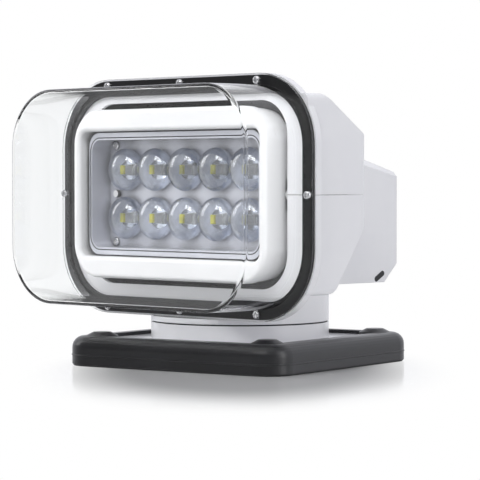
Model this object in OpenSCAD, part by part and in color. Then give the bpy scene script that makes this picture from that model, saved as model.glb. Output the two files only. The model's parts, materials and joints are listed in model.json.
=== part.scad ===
// Marine searchlight: a remote-controlled LED light on a magnetic base.
// The head pans on the base about Z, and the lamp tilts inside the clear dome.
// Frame: origin on the pan axis at the underside of the boot, +Z up, the beam leaves along -Y.

/* [Base] */
// Side of the square rubber boot
boot_side = 144; // [138:1:154]
// Height of the boot's lip above the deck
boot_height = 16.5; // [15.5:0.5:18]
// Corner radius of the boot
boot_corner_r = 16; // [12:1:20]
// Radius of the boot's rounded shoulder
boot_shoulder_r = 6.5; // [4:0.5:7]
// Thickness of the boot's side wall
boot_wall = 3.5; // [2.5:0.5:4.5]
// Thickness of the boot's floor
boot_floor = 2; // [1.5:0.5:2.5]
// Thickness of the lip that folds over the base plate
boot_lip = 2; // [1.5:0.25:2.5]
// Width of that lip, from the boot's side to its square opening
lip_width = 12.5; // [10:0.5:15]
// Corner radius of the opening
lip_corner_r = 8; // [5:1:12]
// Rise of the pads at the opening's corners above the lip
pad_rise = 2; // [1:0.25:3]
// Radius of those pads
pad_r = 9; // [7:0.5:10]
// Wall thickness of the base plate
plate_wall = 3; // [2.5:0.25:3.5]
// Wall thickness of the pedestal ring
pedestal_wall = 4; // [3.5:0.25:5]
// Outer radius of the pedestal ring and the turret
drum_r = 50.25; // [47:0.25:53]
// Height of the seam between pedestal and turret above the boot's lip
seam_rise = 7.6; // [7:0.1:9]
// Width of that seam
seam_gap = 0.8; // [0.6:0.1:1]
// Turn of the base under the head as it stands
base_turn = 11.2; // [-20:0.1:20]

/* [Magnets] */
// Radius of a pot magnet's steel cup
cup_r = 18; // [15:0.5:20]
// Height of that cup
cup_h = 8; // [7:0.25:8.5]
// Wall and back thickness of the cup
cup_wall = 1.8; // [1.2:0.2:2.4]
// Distance of the magnets' centres from the boot's sides
magnet_inset = 30; // [28:0.5:34]
// Distance of the magnets' faces above the deck
magnet_recess = 0.4; // [0.2:0.1:0.6]

/* [Spindle] */
// Outer radius of the hollow pan spindle
spindle_r = 10; // [9:0.25:11]
// Radius of the cable way through the spindle
spindle_bore_r = 6.5; // [4:0.25:7]
// Radius of the spindle's flange
spindle_flange_r = 16; // [14.5:0.25:17.5]
// Thickness of the spindle's flange
spindle_flange_h = 3; // [2:0.25:3.5]
// Length of the pan bush
bush_len = 18.5; // [17:0.5:20]
// Wall thickness of the pan bush
bush_wall = 3; // [2:0.25:4]

/* [Gears] */
// Width of the ring gear's rim outside its teeth
ring_rim = 7.65; // [7:0.05:9]
// Height of the ring gear
ring_gear_h = 6; // [5:0.25:6.5]
// Module of the tilt gears' teeth
tilt_m = 1; // [0.9:0.01:1.1]
// Teeth of both motor pinions
pinion_teeth = 15; // [15:1:15]
// Teeth of the fixed ring gear in the pedestal
ring_teeth = 75; // [75:1:75]
// Teeth of the full circle that the tilt sector is cut from
sector_teeth = 72; // [72:1:72]
// Circumferential play between meshed teeth
backlash = 0.36; // [0.3:0.02:0.44]

/* [Head] */
// Width of the flange that carries the dome
flange_w = 200; // [185:1:215]
// Height of that flange
flange_h = 132.6; // [125:0.2:140]
// Corner radius of the flange
flange_r = 39; // [36:0.5:42]
// Height of the flange's foot above the seam
flange_clear = 3.6; // [3.3:0.1:5]
// Distance of the flange's front face in front of the pan axis
flange_front = 42.7; // [41:0.1:45]
// Thickness of the flange
flange_t = 4.5; // [4:0.1:5]
// Reach of the flange beyond the body's sides
flange_lip = 6; // [4:0.25:8]
// Height of the body's underside above the flange's foot
body_rise = 14.7; // [14:0.1:15.2]
// Drop of the body's top below the flange's top
body_drop = 11.3; // [9:0.1:12]
// Distance of the body's back behind the pan axis
body_back = 3; // [2:0.25:5]
// Height of the upper slope
slope_h = 22.6; // [18:0.2:24]
// Distance of the upper slope's start in front of the pan axis
slope_start = 30; // [28:0.25:30.5]
// Height of the lower slope
chamfer_h = 37.2; // [34:0.2:38]
// Distance of the lower slope's foot in front of the pan axis
chamfer_foot = 22.8; // [21:0.2:23]
// Wall thickness of the shells
shell_wall = 2.2; // [1.8:0.1:2.4]
// Gap of the parting line
parting_gap = 0.2; // [0.1:0.05:0.3]

/* [Rear cover] */
// Half width of the rear cover
tail_half_w = 44; // [42:0.25:48]
// Distance of the cover's back behind the pan axis
tail_back = 84.4; // [80:0.2:92]
// Height of the cover's underside above the body's
tail_lift = 2.3; // [1.5:0.1:3]
// Height of the cover's top above the tilt axis
tail_rise = 22.5; // [20:0.25:26]
// Drop of the cover's top towards the back
tail_drop = 10; // [6:0.25:14]
// Chamfer of the lower rear edge
tail_chamfer = 10.6; // [8:0.2:12]
// Chamfer along the upper side edges
tail_edge = 5; // [3:0.25:6]
// Chamfer of those edges at the cover's back
tail_edge_rear = 2.7; // [2:0.1:4]
// Distance behind the pan axis where the top starts to slope
tail_slope_y = 50; // [44:0.5:58]
// Wall thickness of the rear cover
tail_wall = 2.4; // [2:0.1:2.6]

/* [Dome] */
// Thickness of the gasket
gasket_t = 2; // [1.5:0.1:2.5]
// Reach of the gasket inside the dome's wall
gasket_reach = 1.6; // [0.4:0.1:2.4]
// Thickness of the dome's flange
dome_flange_t = 1.6; // [1.4:0.1:2.4]
// Depth of the dome from the gasket to its front
dome_depth = 44.5; // [42:0.5:50]
// Distance of the dome's side walls inside the flange's edge
dome_inset_w = 5; // [4.8:0.1:6]
// Distance of the dome's upper and lower walls inside the flange's edge
dome_inset_h = 6.3; // [5.5:0.1:7]
// Wall thickness of the dome
dome_wall = 1.8; // [1.6:0.1:2.4]
// Radius of the dome's front edge on its inside
dome_edge_r = 0.5; // [0.3:0.1:3]
// Draft of the dome's wall over its depth
dome_draft = 0.2; // [0.1:0.1:1]
// Gap between the dome screws' heads and the dome's wall
screw_gap = 0.25; // [0.2:0.05:0.5]
// Distance of the outer dome screws from the centre line
screw_x = 60; // [55:0.5:62]

/* [Lamp] */
// Height of the tilt axis and the parting line above the flange's centre
tilt_rise = 1.5; // [1:0.1:2]
// Distance of the tilt axis behind the flange's front face
tilt_setback = 4.2; // [3.8:0.1:4.5]
// Width of the head's front between its side and the mouth
mouth_border_w = 14.9; // [14:0.1:16]
// Height of the flange above and below the mouth
mouth_border_h = 15.3; // [15:0.1:16.5]
// Side gap between the mouth and the lamp
lamp_gap_w = 2.1; // [1.8:0.1:3]
// Gap between the mouth and the lamp's barrel
lamp_gap_h = 1; // [0.8:0.1:2]
// Depth of the lamp frame's bezel
bezel_t = 8.5; // [7:0.25:8.5]
// Distance of the bezel's face in front of the tilt axis
bezel_reach = 19.2; // [18.5:0.1:21]
// Corner radius of the bezel
bezel_corner_r = 20; // [17:0.5:24]
// Radius of the bezel's rounded edges, outside and round the window
bezel_edge_r = 2.5; // [2:0.1:2.6]
// Width of the bezel beside the window
bezel_border = 5.4; // [5:0.1:6.5]
// Distance of the lamp's cowl inside its barrel
cowl_inset = 3.4; // [3.2:0.1:4]
// Wall thickness of the cowl
cowl_wall = 2.2; // [1.8:0.1:2.6]
// Distance of the lamp's skirt inside its barrel
skirt_inset = 12; // [11.5:0.1:13]
// Wall of the skirt above and below the panel
skirt_wall = 2.5; // [2:0.1:3]
// Gap between the window and the panel's tray
panel_gap = 3.3; // [2.5:0.1:4]
// Distance of the panel's floor behind the tilt axis
panel_setback = 0.5; // [0.2:0.1:1]
// Depth of the panel's tray
panel_depth = 14; // [11:0.25:15]
// Sheet thickness of the panel
panel_t = 1.5; // [1:0.1:1.8]
// Margin of the lens rows at each end of the panel
lens_margin = 6.8; // [5:0.1:9]
// Distance of each row's centre from the panel's edge
row_margin = 18.3; // [17:0.1:20]
// Gap between neighbouring lenses
lens_gap = 0.4; // [0.2:0.1:1]
// Height of a lens's foot above the panel
lens_foot = 4.1; // [3:0.1:5]
// Rise of a lens's dome above its foot
lens_rise = 7.6; // [6:0.1:9]
// Number of lenses in a row
lens_columns = 5; // [4:1:6]
// Thickness of the LED board
board_t = 1.6; // [1:0.1:2]
// Thickness of the heat sink's base
sink_base_t = 4.5; // [3.5:0.25:5]
// Height of the heat sink's fins
fin_h = 16; // [12:0.5:17]
// Thickness of a fin
fin_t = 2; // [1.5:0.1:2.5]
// Spacing of the fins
fin_pitch = 8; // [7:0.25:9]
// Number of fins on each side of the sector
fin_count = 7; // [4:1:7]
// Radius of a tilt pin
tilt_pin_r = 2; // [1.8:0.05:2.2]
// Outer radius of a tilt bush
tilt_bush_r = 3.2; // [3:0.05:3.4]

/* [Drives] */
// Radius of the gearboxes
gearbox_r = 9.5; // [8.5:0.25:10.5]
// Length of the gearboxes
gearbox_len = 12; // [11:0.5:14]
// Radius of the motors
motor_r = 8.5; // [7.5:0.25:9.5]
// Length of the motors
motor_len = 13; // [11:0.5:15]
// Direction of the pan pinion from the pan axis
pan_drive_angle = 120; // [116:1:124]

/* [Hidden] */
$fn = 64;

// Clearances and small cuts
fit = 0.1;              // between pieces that are fastened together
run = 0.3;              // between pieces that move past each other
bearing = 0.05;         // radial play of a shaft in its bush
cut = 1;                // overshoot of a cut

// Heights in the base
plate_side = boot_side - 2 * boot_wall - 2 * fit;
plate_r = boot_corner_r - boot_wall - fit;
plate_top_z = boot_height - boot_lip;
plate_under_z = plate_top_z - plate_wall;
lip_opening = boot_side - 2 * lip_width;
pad_inset = 4;
pad_top_r = 5;
pad_spacing = lip_opening - 2 * pad_inset;
seam_z = boot_height + seam_rise;
pedestal_top_z = seam_z - seam_gap / 2;
turret_bottom_z = seam_z + seam_gap / 2;
pedestal_inner_r = drum_r - pedestal_wall;
cup_top_z = magnet_recess + cup_h;
magnet_spacing = boot_side - 2 * magnet_inset;
magnet_boss_r = 7;
magnet_screw_r = 2;
magnet_head_r = 4;
magnet_head_h = 2.2;
seal_depth = 1.2;
seal_w = 1.6;
gland_r = 3.8;
gland_bore_r = 2.5;
gland_nose = 2.5;
gland_z = (boot_floor + plate_under_z) / 2;
gland_collar = 2;

// Spindle stack, from the flange up
flange_top_z = plate_top_z + spindle_flange_h;
washer_h = 1.5;
bush_bottom_z = flange_top_z + washer_h + run;
bush_top_z = bush_bottom_z + bush_len;
bush_r = spindle_r + bearing + bush_wall;
hub_wall = 3;
hub_r = bush_r + hub_wall;
nut_washer_z = bush_top_z + run;
nut_h = 4.5;
nut_wall = 5;
nut_r = spindle_r + nut_wall;
thread_end = 0.7;
spindle_top_z = nut_washer_z + washer_h + nut_h + thread_end;
spindle_foot_z = boot_floor + washer_h;

// Gear geometry: the pan gears' module follows from the room inside the pedestal
pressure_angle = 20;
addendum = 0.75;
dedendum = 1;
pan_m = (pedestal_inner_r - fit - ring_rim) / (ring_teeth / 2 + dedendum);
pan_drive_r = pan_m * (ring_teeth - pinion_teeth) / 2;
pan_drive_at = pan_drive_r * [cos(pan_drive_angle), sin(pan_drive_angle)];
sector_pitch_r = tilt_m * sector_teeth / 2;
shaft_r = 2.5;
pinion_w = 8;
sector_w = 6;
sector_half_teeth = 6;
sector_rim = 8;

// Heights and depths of the head
flange_foot_z = seam_z + flange_clear;
flange_z = flange_foot_z + flange_h / 2;
flange_back = flange_front - flange_t;
tilt_z = flange_z + tilt_rise;
tilt_front = flange_front - tilt_setback;
tilt_drive_y = -tilt_front + tilt_m * (sector_teeth + pinion_teeth) / 2;
body_half_w = flange_w / 2 - flange_lip;
body_bottom_z = flange_foot_z + body_rise;
body_top_z = flange_foot_z + flange_h - body_drop;
slope_z = body_top_z - slope_h;
chamfer_z = body_bottom_z + chamfer_h;
tail_bottom_z = body_bottom_z + tail_lift;
tail_top_z = tilt_z + tail_rise;
tail_rear_top_z = tail_top_z - tail_drop;
mouth_half_w = body_half_w - mouth_border_w;
mouth_half_h = flange_h / 2 - mouth_border_h;
lamp_half_w = mouth_half_w - lamp_gap_w;
lamp_r = mouth_half_h - lamp_gap_h;

// Turret
turret_floor_t = 3.5;
turret_floor_z = turret_bottom_z + turret_floor_t;
turret_wall = 3;
deck_t = 3;
turret_front_y = -flange_back + fit;
rear_deck_y = -chamfer_foot + 3.4;
neck_room = 2;
neck_low = [-30, -spindle_flange_r - neck_room];
neck_high = [spindle_flange_r + neck_room, 40];
neck_screw_inset = 8;
neck_screw_x = tail_half_w - neck_screw_inset;
neck_screw_y = [-6, 20];

// Head shells
body_profile = [[-flange_front, body_bottom_z], [-chamfer_foot, body_bottom_z], [body_back, chamfer_z],
    [body_back, slope_z], [-slope_start, body_top_z], [-flange_front, body_top_z]];
body_profile_r = [0.5, 6, 3, 3, 3, 0.5];
body_edge_r = 4;
rear_edge_r = 3;
tail_seat = 10;
tail_opening_half_w = tail_half_w - tail_seat;
tail_opening_top_z = tail_top_z - tail_seat / 2 - 1;
cheek_len = 6.4;
cheek_half_h = 9;
cheek_depth = 8;
shell_lug_r = 4;
shell_lug_h = 10;
shell_lug_x = body_half_w - shell_wall - shell_lug_r + fit;
shell_lug_y = [-8, -25];
cover_post_r = 3.6;
cover_post_x = tail_half_w - tail_wall - cover_post_r + 2 * fit;
cover_post_z = [chamfer_z + 4.4, tail_top_z - 10];
cover_post_len = 11;
tail_front_y = -chamfer_foot - cut;
drain_slot_r = 1.6;
drain_slot_len = 6;
drain_depth = 1.5;
drain_recess = 0.5;

// Screws
m3_r = 1.5;
m3_head_r = 2.9;
m3_head_h = 1.9;
dome_screw_r = 1.25;
dome_hole_r = dome_screw_r + fit;
dome_head_r = 2.2;
m3_hole_r = m3_r + fit;
small_screw_r = 1.2;
small_head_r = 2.4;
small_head_h = 1.5;
thread_room = 1;        // depth of a blind screw hole beyond the screw

// Dome and gasket
gasket_front = flange_front + gasket_t;
gasket_edge = 1;
dome_half_w = flange_w / 2 - dome_inset_w;
dome_half_h = flange_h / 2 - dome_inset_h;
dome_r = flange_r - dome_inset_h;
dome_fillet = screw_gap - fit / 2;
screw_reach = dome_head_r + screw_gap;
dome_screw_points = concat(
    [for (x = [-screw_x, 0, screw_x], s = [-1, 1]) [x, flange_z + s * (dome_half_h + screw_reach)]],
    [for (s = [-1, 1]) [s * (dome_half_w + screw_reach), tilt_z]]);
dome_screw_len = dome_flange_t + gasket_t + flange_t - thread_room / 2;

// Lamp: outlines of the frame, window, panel and lens grid
barrel_cut = 2.6;
lamp_half_h = lamp_r - barrel_cut;
cowl_half_h = lamp_r - cowl_inset;
cowl_corner_r = bezel_corner_r - 1;
cowl_half_w = lamp_half_w - 0.4;
mouth_corner_r = bezel_corner_r;
cowl_chamfer = [5, 2];
skirt_half_h = lamp_r - skirt_inset;
skirt_side = 5.3;
skirt_corner_r = 10;
window_half_w = lamp_half_w - bezel_border;
window_half_h = skirt_half_h - skirt_wall - 0.3;
window_corner_r = 5;
panel_half_w = window_half_w - panel_gap;
panel_half_h = window_half_h - panel_gap;
panel_corner_r = 8;
lens_pitch = 2 * (panel_half_w - lens_margin) / lens_columns;
row_pitch = 2 * (panel_half_h - row_margin);
lens_r = (min(lens_pitch, row_pitch) - lens_gap) / 2;
board_inset = [2.5, 2];
panel_screw_at = [panel_half_w - 7, panel_half_h - 4.6];
panel_peg_r = 2;
panel_peg_h = 2.5;
panel_peg_gap = 3;
panel_peg_reach = lens_r + panel_peg_r + panel_peg_gap;
panel_peg_x = (lens_columns - 1) / 2 * lens_pitch
    + sqrt(max(0, pow(panel_peg_reach, 2) - pow(row_pitch / 2, 2)));
emitter = 5;
emitter_h = 1.2;
emitter_hole_r = 4;

// Lamp: depths of the stack, from the bezel back
bezel_front = tilt_front + bezel_reach;
bezel_back = bezel_front - bezel_t;
panel_front = tilt_front - panel_setback;
board_front = panel_front - panel_t;
sink_front = board_front - board_t;
sink_back = sink_front - sink_base_t;
fin_half_h = skirt_half_h - 13;
sink_screw_at = [lamp_half_w - skirt_side / 2, skirt_half_h - 10];
sink_screw_len = sink_base_t + 10;
pin_end = mouth_half_w + cheek_len - 0.6;

// Drives
bracket_t = 2;
bracket_gap = 1;
bracket_x = pinion_w / 2 + bracket_gap;
bracket_half_y = 10;
bracket_foot_len = 26;
gearbox_boss_r = 5;
gearbox_ear_r = 3;
gearbox_ear_at = gearbox_r + small_head_r + run;
gearbox_ear_t = 2;
shaft_depth = 7;
pinion_gap = 0.7;
motor_cap_h = 2;

// Control board
pcb_t = 1.6;
pcb_half_w = 30;
pcb_z = [tail_bottom_z + 11.3, tail_top_z - 18];
pcb_back_gap = 18.4;
pcb_y = tail_back - pcb_back_gap;
pcb_screw_at = [25, 5];
post_r = 3;

// Points of an arc about c from angle a0 to a1
function arc(c, r, a0, a1, n = 6) =
    [for (i = [0:n]) let (a = a0 + (a1 - a0) * i / n) c + r * [cos(a), sin(a)]];

function left_normal(v) = [-v.y, v.x] / norm(v);

// A counter-clockwise outline with every edge moved inwards by d
function inset(p, d) = [for (i = [0:len(p) - 1])
    let (a = p[(i + len(p) - 1) % len(p)], b = p[i], c = p[(i + 1) % len(p)],
        n1 = left_normal(b - a), n2 = left_normal(c - b))
    b + d * (n1 + n2) / (1 + n1 * n2)];

// A convex counter-clockwise outline with corner i rounded by radius r[i]
function rounded(p, r, n = 5) = [for (i = [0:len(p) - 1])
    let (a = p[(i + len(p) - 1) % len(p)], b = p[i], c = p[(i + 1) % len(p)],
        u = (a - b) / norm(a - b), v = (c - b) / norm(c - b), half = acos(u * v) / 2,
        centre = b + (u + v) / norm(u + v) * r[i] / sin(half),
        start = b + u * r[i] / tan(half) - centre, a0 = atan2(start.y, start.x))
    each arc(centre, r[i], a0, a0 + 180 - 2 * half, n)];

function involute(a) = tan(a) * 180 / PI - a;

// Half the angle that a tooth covers at radius r, thinned by thin at the pitch circle
function tooth_half_angle(n, pitch_r, r, thin) =
    let (base_r = pitch_r * cos(pressure_angle), reach = max(r, base_r))
    90 / n - thin / pitch_r * 180 / PI + involute(pressure_angle) - involute(acos(base_r / reach));

// Involute outline of teeth first to last of an n-tooth gear of module m, root below and tip above pitch
function tooth_points(n, m, root, tip, thin, first, last) =
    let (pitch_r = n * m / 2, base_r = pitch_r * cos(pressure_angle), root_r = pitch_r - root * m,
        tip_r = pitch_r + tip * m, flank_r = max(root_r, base_r),
        flank = [for (k = [0:3]) flank_r + (tip_r - flank_r) * k / 3],
        radii = root_r < base_r ? concat([root_r], flank) : flank, count = len(radii))
    [for (t = [first:last], k = [0:2 * count - 1])
        let (r = k < count ? radii[k] : radii[2 * count - 1 - k], side = k < count ? -1 : 1,
            a = t * 360 / n + side * tooth_half_angle(n, pitch_r, r, thin))
        r * [cos(a), sin(a)]];

module in_base() { rotate([0, 0, base_turn]) children(); }

// Slab with rounded corners, centred on Z
module rounded_slab(w, h, t, r) {
    translate([-w / 2 + r, -h / 2, 0]) cube([w - 2 * r, h, t]);
    translate([-w / 2, -h / 2 + r, 0]) cube([w, h - 2 * r, t]);
    for (x = [-1, 1], y = [-1, 1])
        translate([x * (w / 2 - r), y * (h / 2 - r), 0]) cylinder(r = r, h = t);
}

// Carries a profile round a rounded rectangle; the profile's x runs outwards from the corner centres
module frame_sweep(w, h, r, profile) {
    reach = [w / 2 - r, h / 2 - r];
    for (q = [0:3]) {
        along = q % 2 == 0 ? reach.y : reach.x;
        out = q % 2 == 0 ? reach.x : reach.y;
        rotate([0, 0, 90 * q]) translate([out, along, 0]) {
            rotate_extrude(angle = 90) polygon(profile);
            rotate([90, 0, 0]) linear_extrude(2 * along) polygon(profile);
        }
    }
}

// Places a shape drawn in X and Z so that its local z runs forwards from y = -front
module facing(front, z = 0) { translate([0, -front, z]) rotate([90, 0, 0]) children(); }

// Extrudes an outline drawn in Y and Z along X
module across(x, len) { translate([x, 0, 0]) rotate([90, 0, 90]) linear_extrude(len) children(); }

// Round bar along X about the given Y and Z
module cross_bar(x, len, r, y, z) { translate([x, y, z]) rotate([0, 90, 0]) cylinder(r = r, h = len); }

module mirrored_x() { children(); mirror([1, 0, 0]) children(); }

// Pan-head screw with its head's seat at the origin and its shank along +Z
module pan_screw(r, len, head_r, head_h) {
    cylinder(r = r, h = len);
    translate([0, 0, -head_h]) cylinder(r1 = head_r * 0.72, r2 = head_r, h = head_h * 0.5);
    translate([0, 0, -head_h * 0.5]) cylinder(r = head_r, h = head_h * 0.5);
}

module at_magnets() {
    for (x = [-1, 1], y = [-1, 1]) translate([x, y, 0] * magnet_spacing / 2) children();
}

module at_ring_screws() {
    for (a = [45:90:315]) rotate([0, 0, a])
        translate([pedestal_inner_r - fit - ring_rim / 2, 0, 0]) children();
}

module at_neck_screws() {
    for (x = [-1, 1], y = neck_screw_y) translate([x * neck_screw_x, y, 0]) children();
}

module at_shell_lugs() {
    for (x = [-1, 1], y = shell_lug_y) translate([x * shell_lug_x, y, 0]) children();
}

module at_cover_posts() {
    for (x = [-1, 1], z = cover_post_z) translate([x * cover_post_x, body_back, z]) children();
}

module at_dome_screws(front) {
    for (p = dome_screw_points) translate([p.x, -front, p.y]) rotate([-90, 0, 0]) children();
}

module at_lenses() {
    for (i = [0:lens_columns - 1], row = [-1, 1])
        translate([(i - (lens_columns - 1) / 2) * lens_pitch, -panel_front, tilt_z + row * row_pitch / 2])
            children();
}

module at_corners(p, front) {
    for (x = [-1, 1], z = [-1, 1]) translate([x * p.x, -front, tilt_z + z * p.y]) children();
}

// Base

module boot_shape() {
    shoulder_z = boot_height - boot_shoulder_r;
    foot_r = 1;
    profile = concat([[0, 0], [boot_corner_r - foot_r, 0], [boot_corner_r, foot_r]],
        arc([boot_corner_r - boot_shoulder_r, shoulder_z], boot_shoulder_r, 0, 90), [[0, boot_height]]);
    core = boot_side - 2 * boot_corner_r;
    frame_sweep(boot_side, boot_side, boot_corner_r, profile);
    translate([-core / 2, -core / 2, 0]) cube([core, core, boot_height]);
}

// Low pads that fill the corners of the lip's opening
module lip_pads() {
    for (x = [-1, 1], y = [-1, 1]) translate([x * pad_spacing / 2, y * pad_spacing / 2, plate_top_z]) {
        cylinder(r = pad_r, h = boot_lip);
        translate([0, 0, boot_lip]) cylinder(r1 = pad_r, r2 = pad_top_r, h = pad_rise);
    }
}

module rubber_boot() {
    color("#26272a") in_base() {
        difference() {
            boot_shape();
            translate([0, 0, boot_floor])
                rounded_slab(plate_side + 2 * fit, plate_side + 2 * fit, plate_top_z - boot_floor, plate_r + fit);
            translate([0, 0, plate_top_z - cut])
                rounded_slab(lip_opening, lip_opening, boot_lip + 2 * cut, lip_corner_r);
            at_magnets() translate([0, 0, -cut]) cylinder(r = cup_r + run, h = boot_floor + 2 * cut);
            translate([0, boot_side / 2 + cut, gland_z]) rotate([90, 0, 0])
                cylinder(r = gland_r + fit, h = boot_wall + 2 * cut);
        }
        lip_pads();
    }
}

module base_plate() {
    hollow = plate_side - 2 * plate_wall;
    rib_t = 2;
    rib_h = 3;
    color("white") in_base() difference() {
        union() {
            difference() {
                translate([0, 0, boot_floor])
                    rounded_slab(plate_side, plate_side, plate_top_z - boot_floor, plate_r);
                translate([0, 0, boot_floor - cut])
                    rounded_slab(hollow, hollow, plate_under_z - boot_floor + cut, plate_r - plate_wall);
            }
            difference() {
                translate([0, 0, plate_top_z]) cylinder(r = drum_r, h = pedestal_top_z - plate_top_z);
                translate([0, 0, plate_top_z]) cylinder(r = pedestal_inner_r, h = pedestal_top_z);
            }
            at_magnets() translate([0, 0, cup_top_z]) cylinder(r = magnet_boss_r, h = plate_under_z - cup_top_z);
            for (a = [0, 90]) rotate([0, 0, a]) for (s = [-1, 1])
                translate([-hollow / 2, s * magnet_spacing / 2 - rib_t / 2, plate_under_z - rib_h])
                    cube([hollow, rib_t, rib_h]);
        }
        at_magnets() translate([0, 0, cup_top_z - cut])
            cylinder(r = magnet_screw_r + fit, h = plate_top_z - cup_top_z + cut - thread_room);
        translate([0, 0, boot_floor]) cylinder(r = spindle_r + fit, h = plate_top_z);
        seal_groove();
        at_ring_screws() translate([0, 0, plate_under_z + fit]) cylinder(r = m3_hole_r, h = plate_wall);
        translate([0, boot_side / 2, gland_z]) rotate([90, 0, 0])
            cylinder(r = gland_r + fit, h = boot_wall + plate_wall + cut);
    }
}

module seal_ring(z, h, play) {
    outer_r = drum_r - (pedestal_wall - seal_w) / 2 + play;
    inner_r = outer_r - seal_w - 2 * play;
    translate([0, 0, z]) difference() {
        cylinder(r = outer_r, h = h);
        translate([0, 0, -cut]) cylinder(r = inner_r, h = h + 2 * cut);
    }
}

module seal_groove() { seal_ring(pedestal_top_z - seal_depth, seal_depth + cut, fit); }

module turret_seal() {
    color("#1b1b1d") in_base()
        seal_ring(pedestal_top_z - seal_depth, seam_gap - run + seal_depth, 0);
}

module magnet_cups() {
    color("silver") in_base() at_magnets() translate([0, 0, magnet_recess]) difference() {
        cylinder(r = cup_r, h = cup_h);
        translate([0, 0, -cut]) cylinder(r = cup_r - cup_wall, h = cup_h - cup_wall + cut);
        cylinder(r = magnet_screw_r + fit, h = cup_h + cut);
    }
}

module magnets() {
    color("dimgray") in_base() at_magnets() translate([0, 0, magnet_recess]) difference() {
        cylinder(r = cup_r - cup_wall - fit, h = cup_h - cup_wall);
        translate([0, 0, -cut]) cylinder(r = magnet_head_r + 1, h = cup_h + cut);
    }
}

module magnet_screws() {
    color("silver") in_base() at_magnets() translate([0, 0, cup_top_z - cup_wall])
        pan_screw(magnet_screw_r, plate_top_z - 2 * thread_room - cup_top_z + cup_wall, magnet_head_r, magnet_head_h);
}

module pan_ring_gear() {
    space = tooth_points(ring_teeth, pan_m, addendum, dedendum, -backlash / 4, 0, ring_teeth - 1);
    color("ivory") in_base() difference() {
        translate([0, 0, plate_top_z]) cylinder(r = pedestal_inner_r - fit, h = ring_gear_h);
        rotate([0, 0, pan_drive_angle - base_turn]) translate([0, 0, plate_top_z - cut])
            linear_extrude(ring_gear_h + 2 * cut) polygon(space);
        at_ring_screws() cylinder(r = m3_hole_r, h = plate_top_z + ring_gear_h + cut);
    }
}

module ring_gear_screws() {
    color("silver") in_base() at_ring_screws() translate([0, 0, plate_top_z + ring_gear_h]) mirror([0, 0, 1])
        pan_screw(m3_r, ring_gear_h + plate_wall - thread_room, m3_head_r, m3_head_h);
}

module spindle() {
    color("silver") in_base() difference() {
        union() {
            translate([0, 0, spindle_foot_z]) cylinder(r = spindle_r, h = spindle_top_z - spindle_foot_z);
            translate([0, 0, plate_top_z]) cylinder(r = spindle_flange_r, h = spindle_flange_h);
        }
        translate([0, 0, spindle_foot_z - cut]) cylinder(r = spindle_bore_r, h = spindle_top_z);
    }
}

module hex_nut(z) {
    translate([0, 0, z]) difference() {
        cylinder(r = nut_r, h = nut_h, $fn = 6);
        translate([0, 0, -cut]) cylinder(r = spindle_r + 0.02, h = nut_h + 2 * cut);
    }
}

module flat_washer(z) {
    translate([0, 0, z]) difference() {
        cylinder(r = spindle_flange_r, h = washer_h);
        translate([0, 0, -cut]) cylinder(r = spindle_r + fit, h = washer_h + 2 * cut);
    }
}

module lock_nut() { color("silver") in_base() hex_nut(plate_under_z - nut_h); }

module spindle_nut() { color("silver") in_base() hex_nut(nut_washer_z + washer_h); }

module thrust_washer() { color("ivory") in_base() flat_washer(flange_top_z); }

module nut_washer() { color("ivory") in_base() flat_washer(nut_washer_z); }

module cable_gland() {
    inner_y = boot_side / 2 - boot_wall - fit - plate_wall;
    color("#1b1b1d") in_base() difference() {
        union() {
            translate([0, boot_side / 2 + gland_nose, gland_z]) rotate([90, 0, 0])
                cylinder(r = gland_r, h = boot_side / 2 + gland_nose - inner_y);
            translate([0, inner_y, gland_z]) rotate([90, 0, 0])
                cylinder(r = gland_z - boot_floor - fit, h = gland_collar);
        }
        translate([0, boot_side / 2 + gland_nose + cut, gland_z]) rotate([90, 0, 0])
            cylinder(r = gland_bore_r, h = boot_side);
    }
}

// Turret and head

module drum(z, top_z, r, front_y) {
    intersection() {
        translate([0, 0, z]) cylinder(r = r, h = top_z - z);
        translate([-drum_r, front_y, z - cut]) cube([2 * drum_r, drum_r - front_y, top_z - z + 2 * cut]);
    }
}

module neck_opening(z, h) {
    translate([neck_low.x, neck_low.y, z]) cube([neck_high.x - neck_low.x, neck_high.y - neck_low.y, h]);
}

module turret() {
    deck_z = body_bottom_z - deck_t;
    color("white") difference() {
        union() {
            difference() {
                union() {
                    drum(turret_bottom_z, flange_foot_z - run, drum_r, -drum_r);
                    drum(turret_bottom_z, body_bottom_z, drum_r, turret_front_y);
                    drum(turret_bottom_z, tail_bottom_z, drum_r, rear_deck_y);
                }
                drum(turret_floor_z, deck_z, drum_r - turret_wall, turret_front_y + turret_wall);
                neck_opening(deck_z - cut, tail_bottom_z);
            }
            translate([0, 0, bush_bottom_z + washer_h]) cylinder(r = hub_r, h = bush_len - washer_h);
        }
        translate([0, 0, turret_bottom_z - drum_r]) cylinder(r = bush_r + fit / 2, h = 2 * drum_r);
        translate([pan_drive_at.x, pan_drive_at.y, 0]) {
            cylinder(r = gearbox_boss_r + fit, h = drum_r);
            for (s = [-1, 1]) translate([s * gearbox_ear_at, 0, turret_bottom_z + 0.5])
                cylinder(r = small_screw_r + fit, h = drum_r);
        }
        at_neck_screws() translate([0, 0, deck_z + 0.5]) cylinder(r = m3_hole_r, h = drum_r);
    }
}

module pan_bush() {
    color("ivory") difference() {
        union() {
            translate([0, 0, bush_bottom_z]) cylinder(r = bush_r, h = bush_len);
            translate([0, 0, bush_bottom_z]) cylinder(r = spindle_flange_r, h = washer_h);
        }
        translate([0, 0, bush_bottom_z - cut]) cylinder(r = spindle_r + bearing, h = bush_len + 2 * cut);
    }
}

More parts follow.
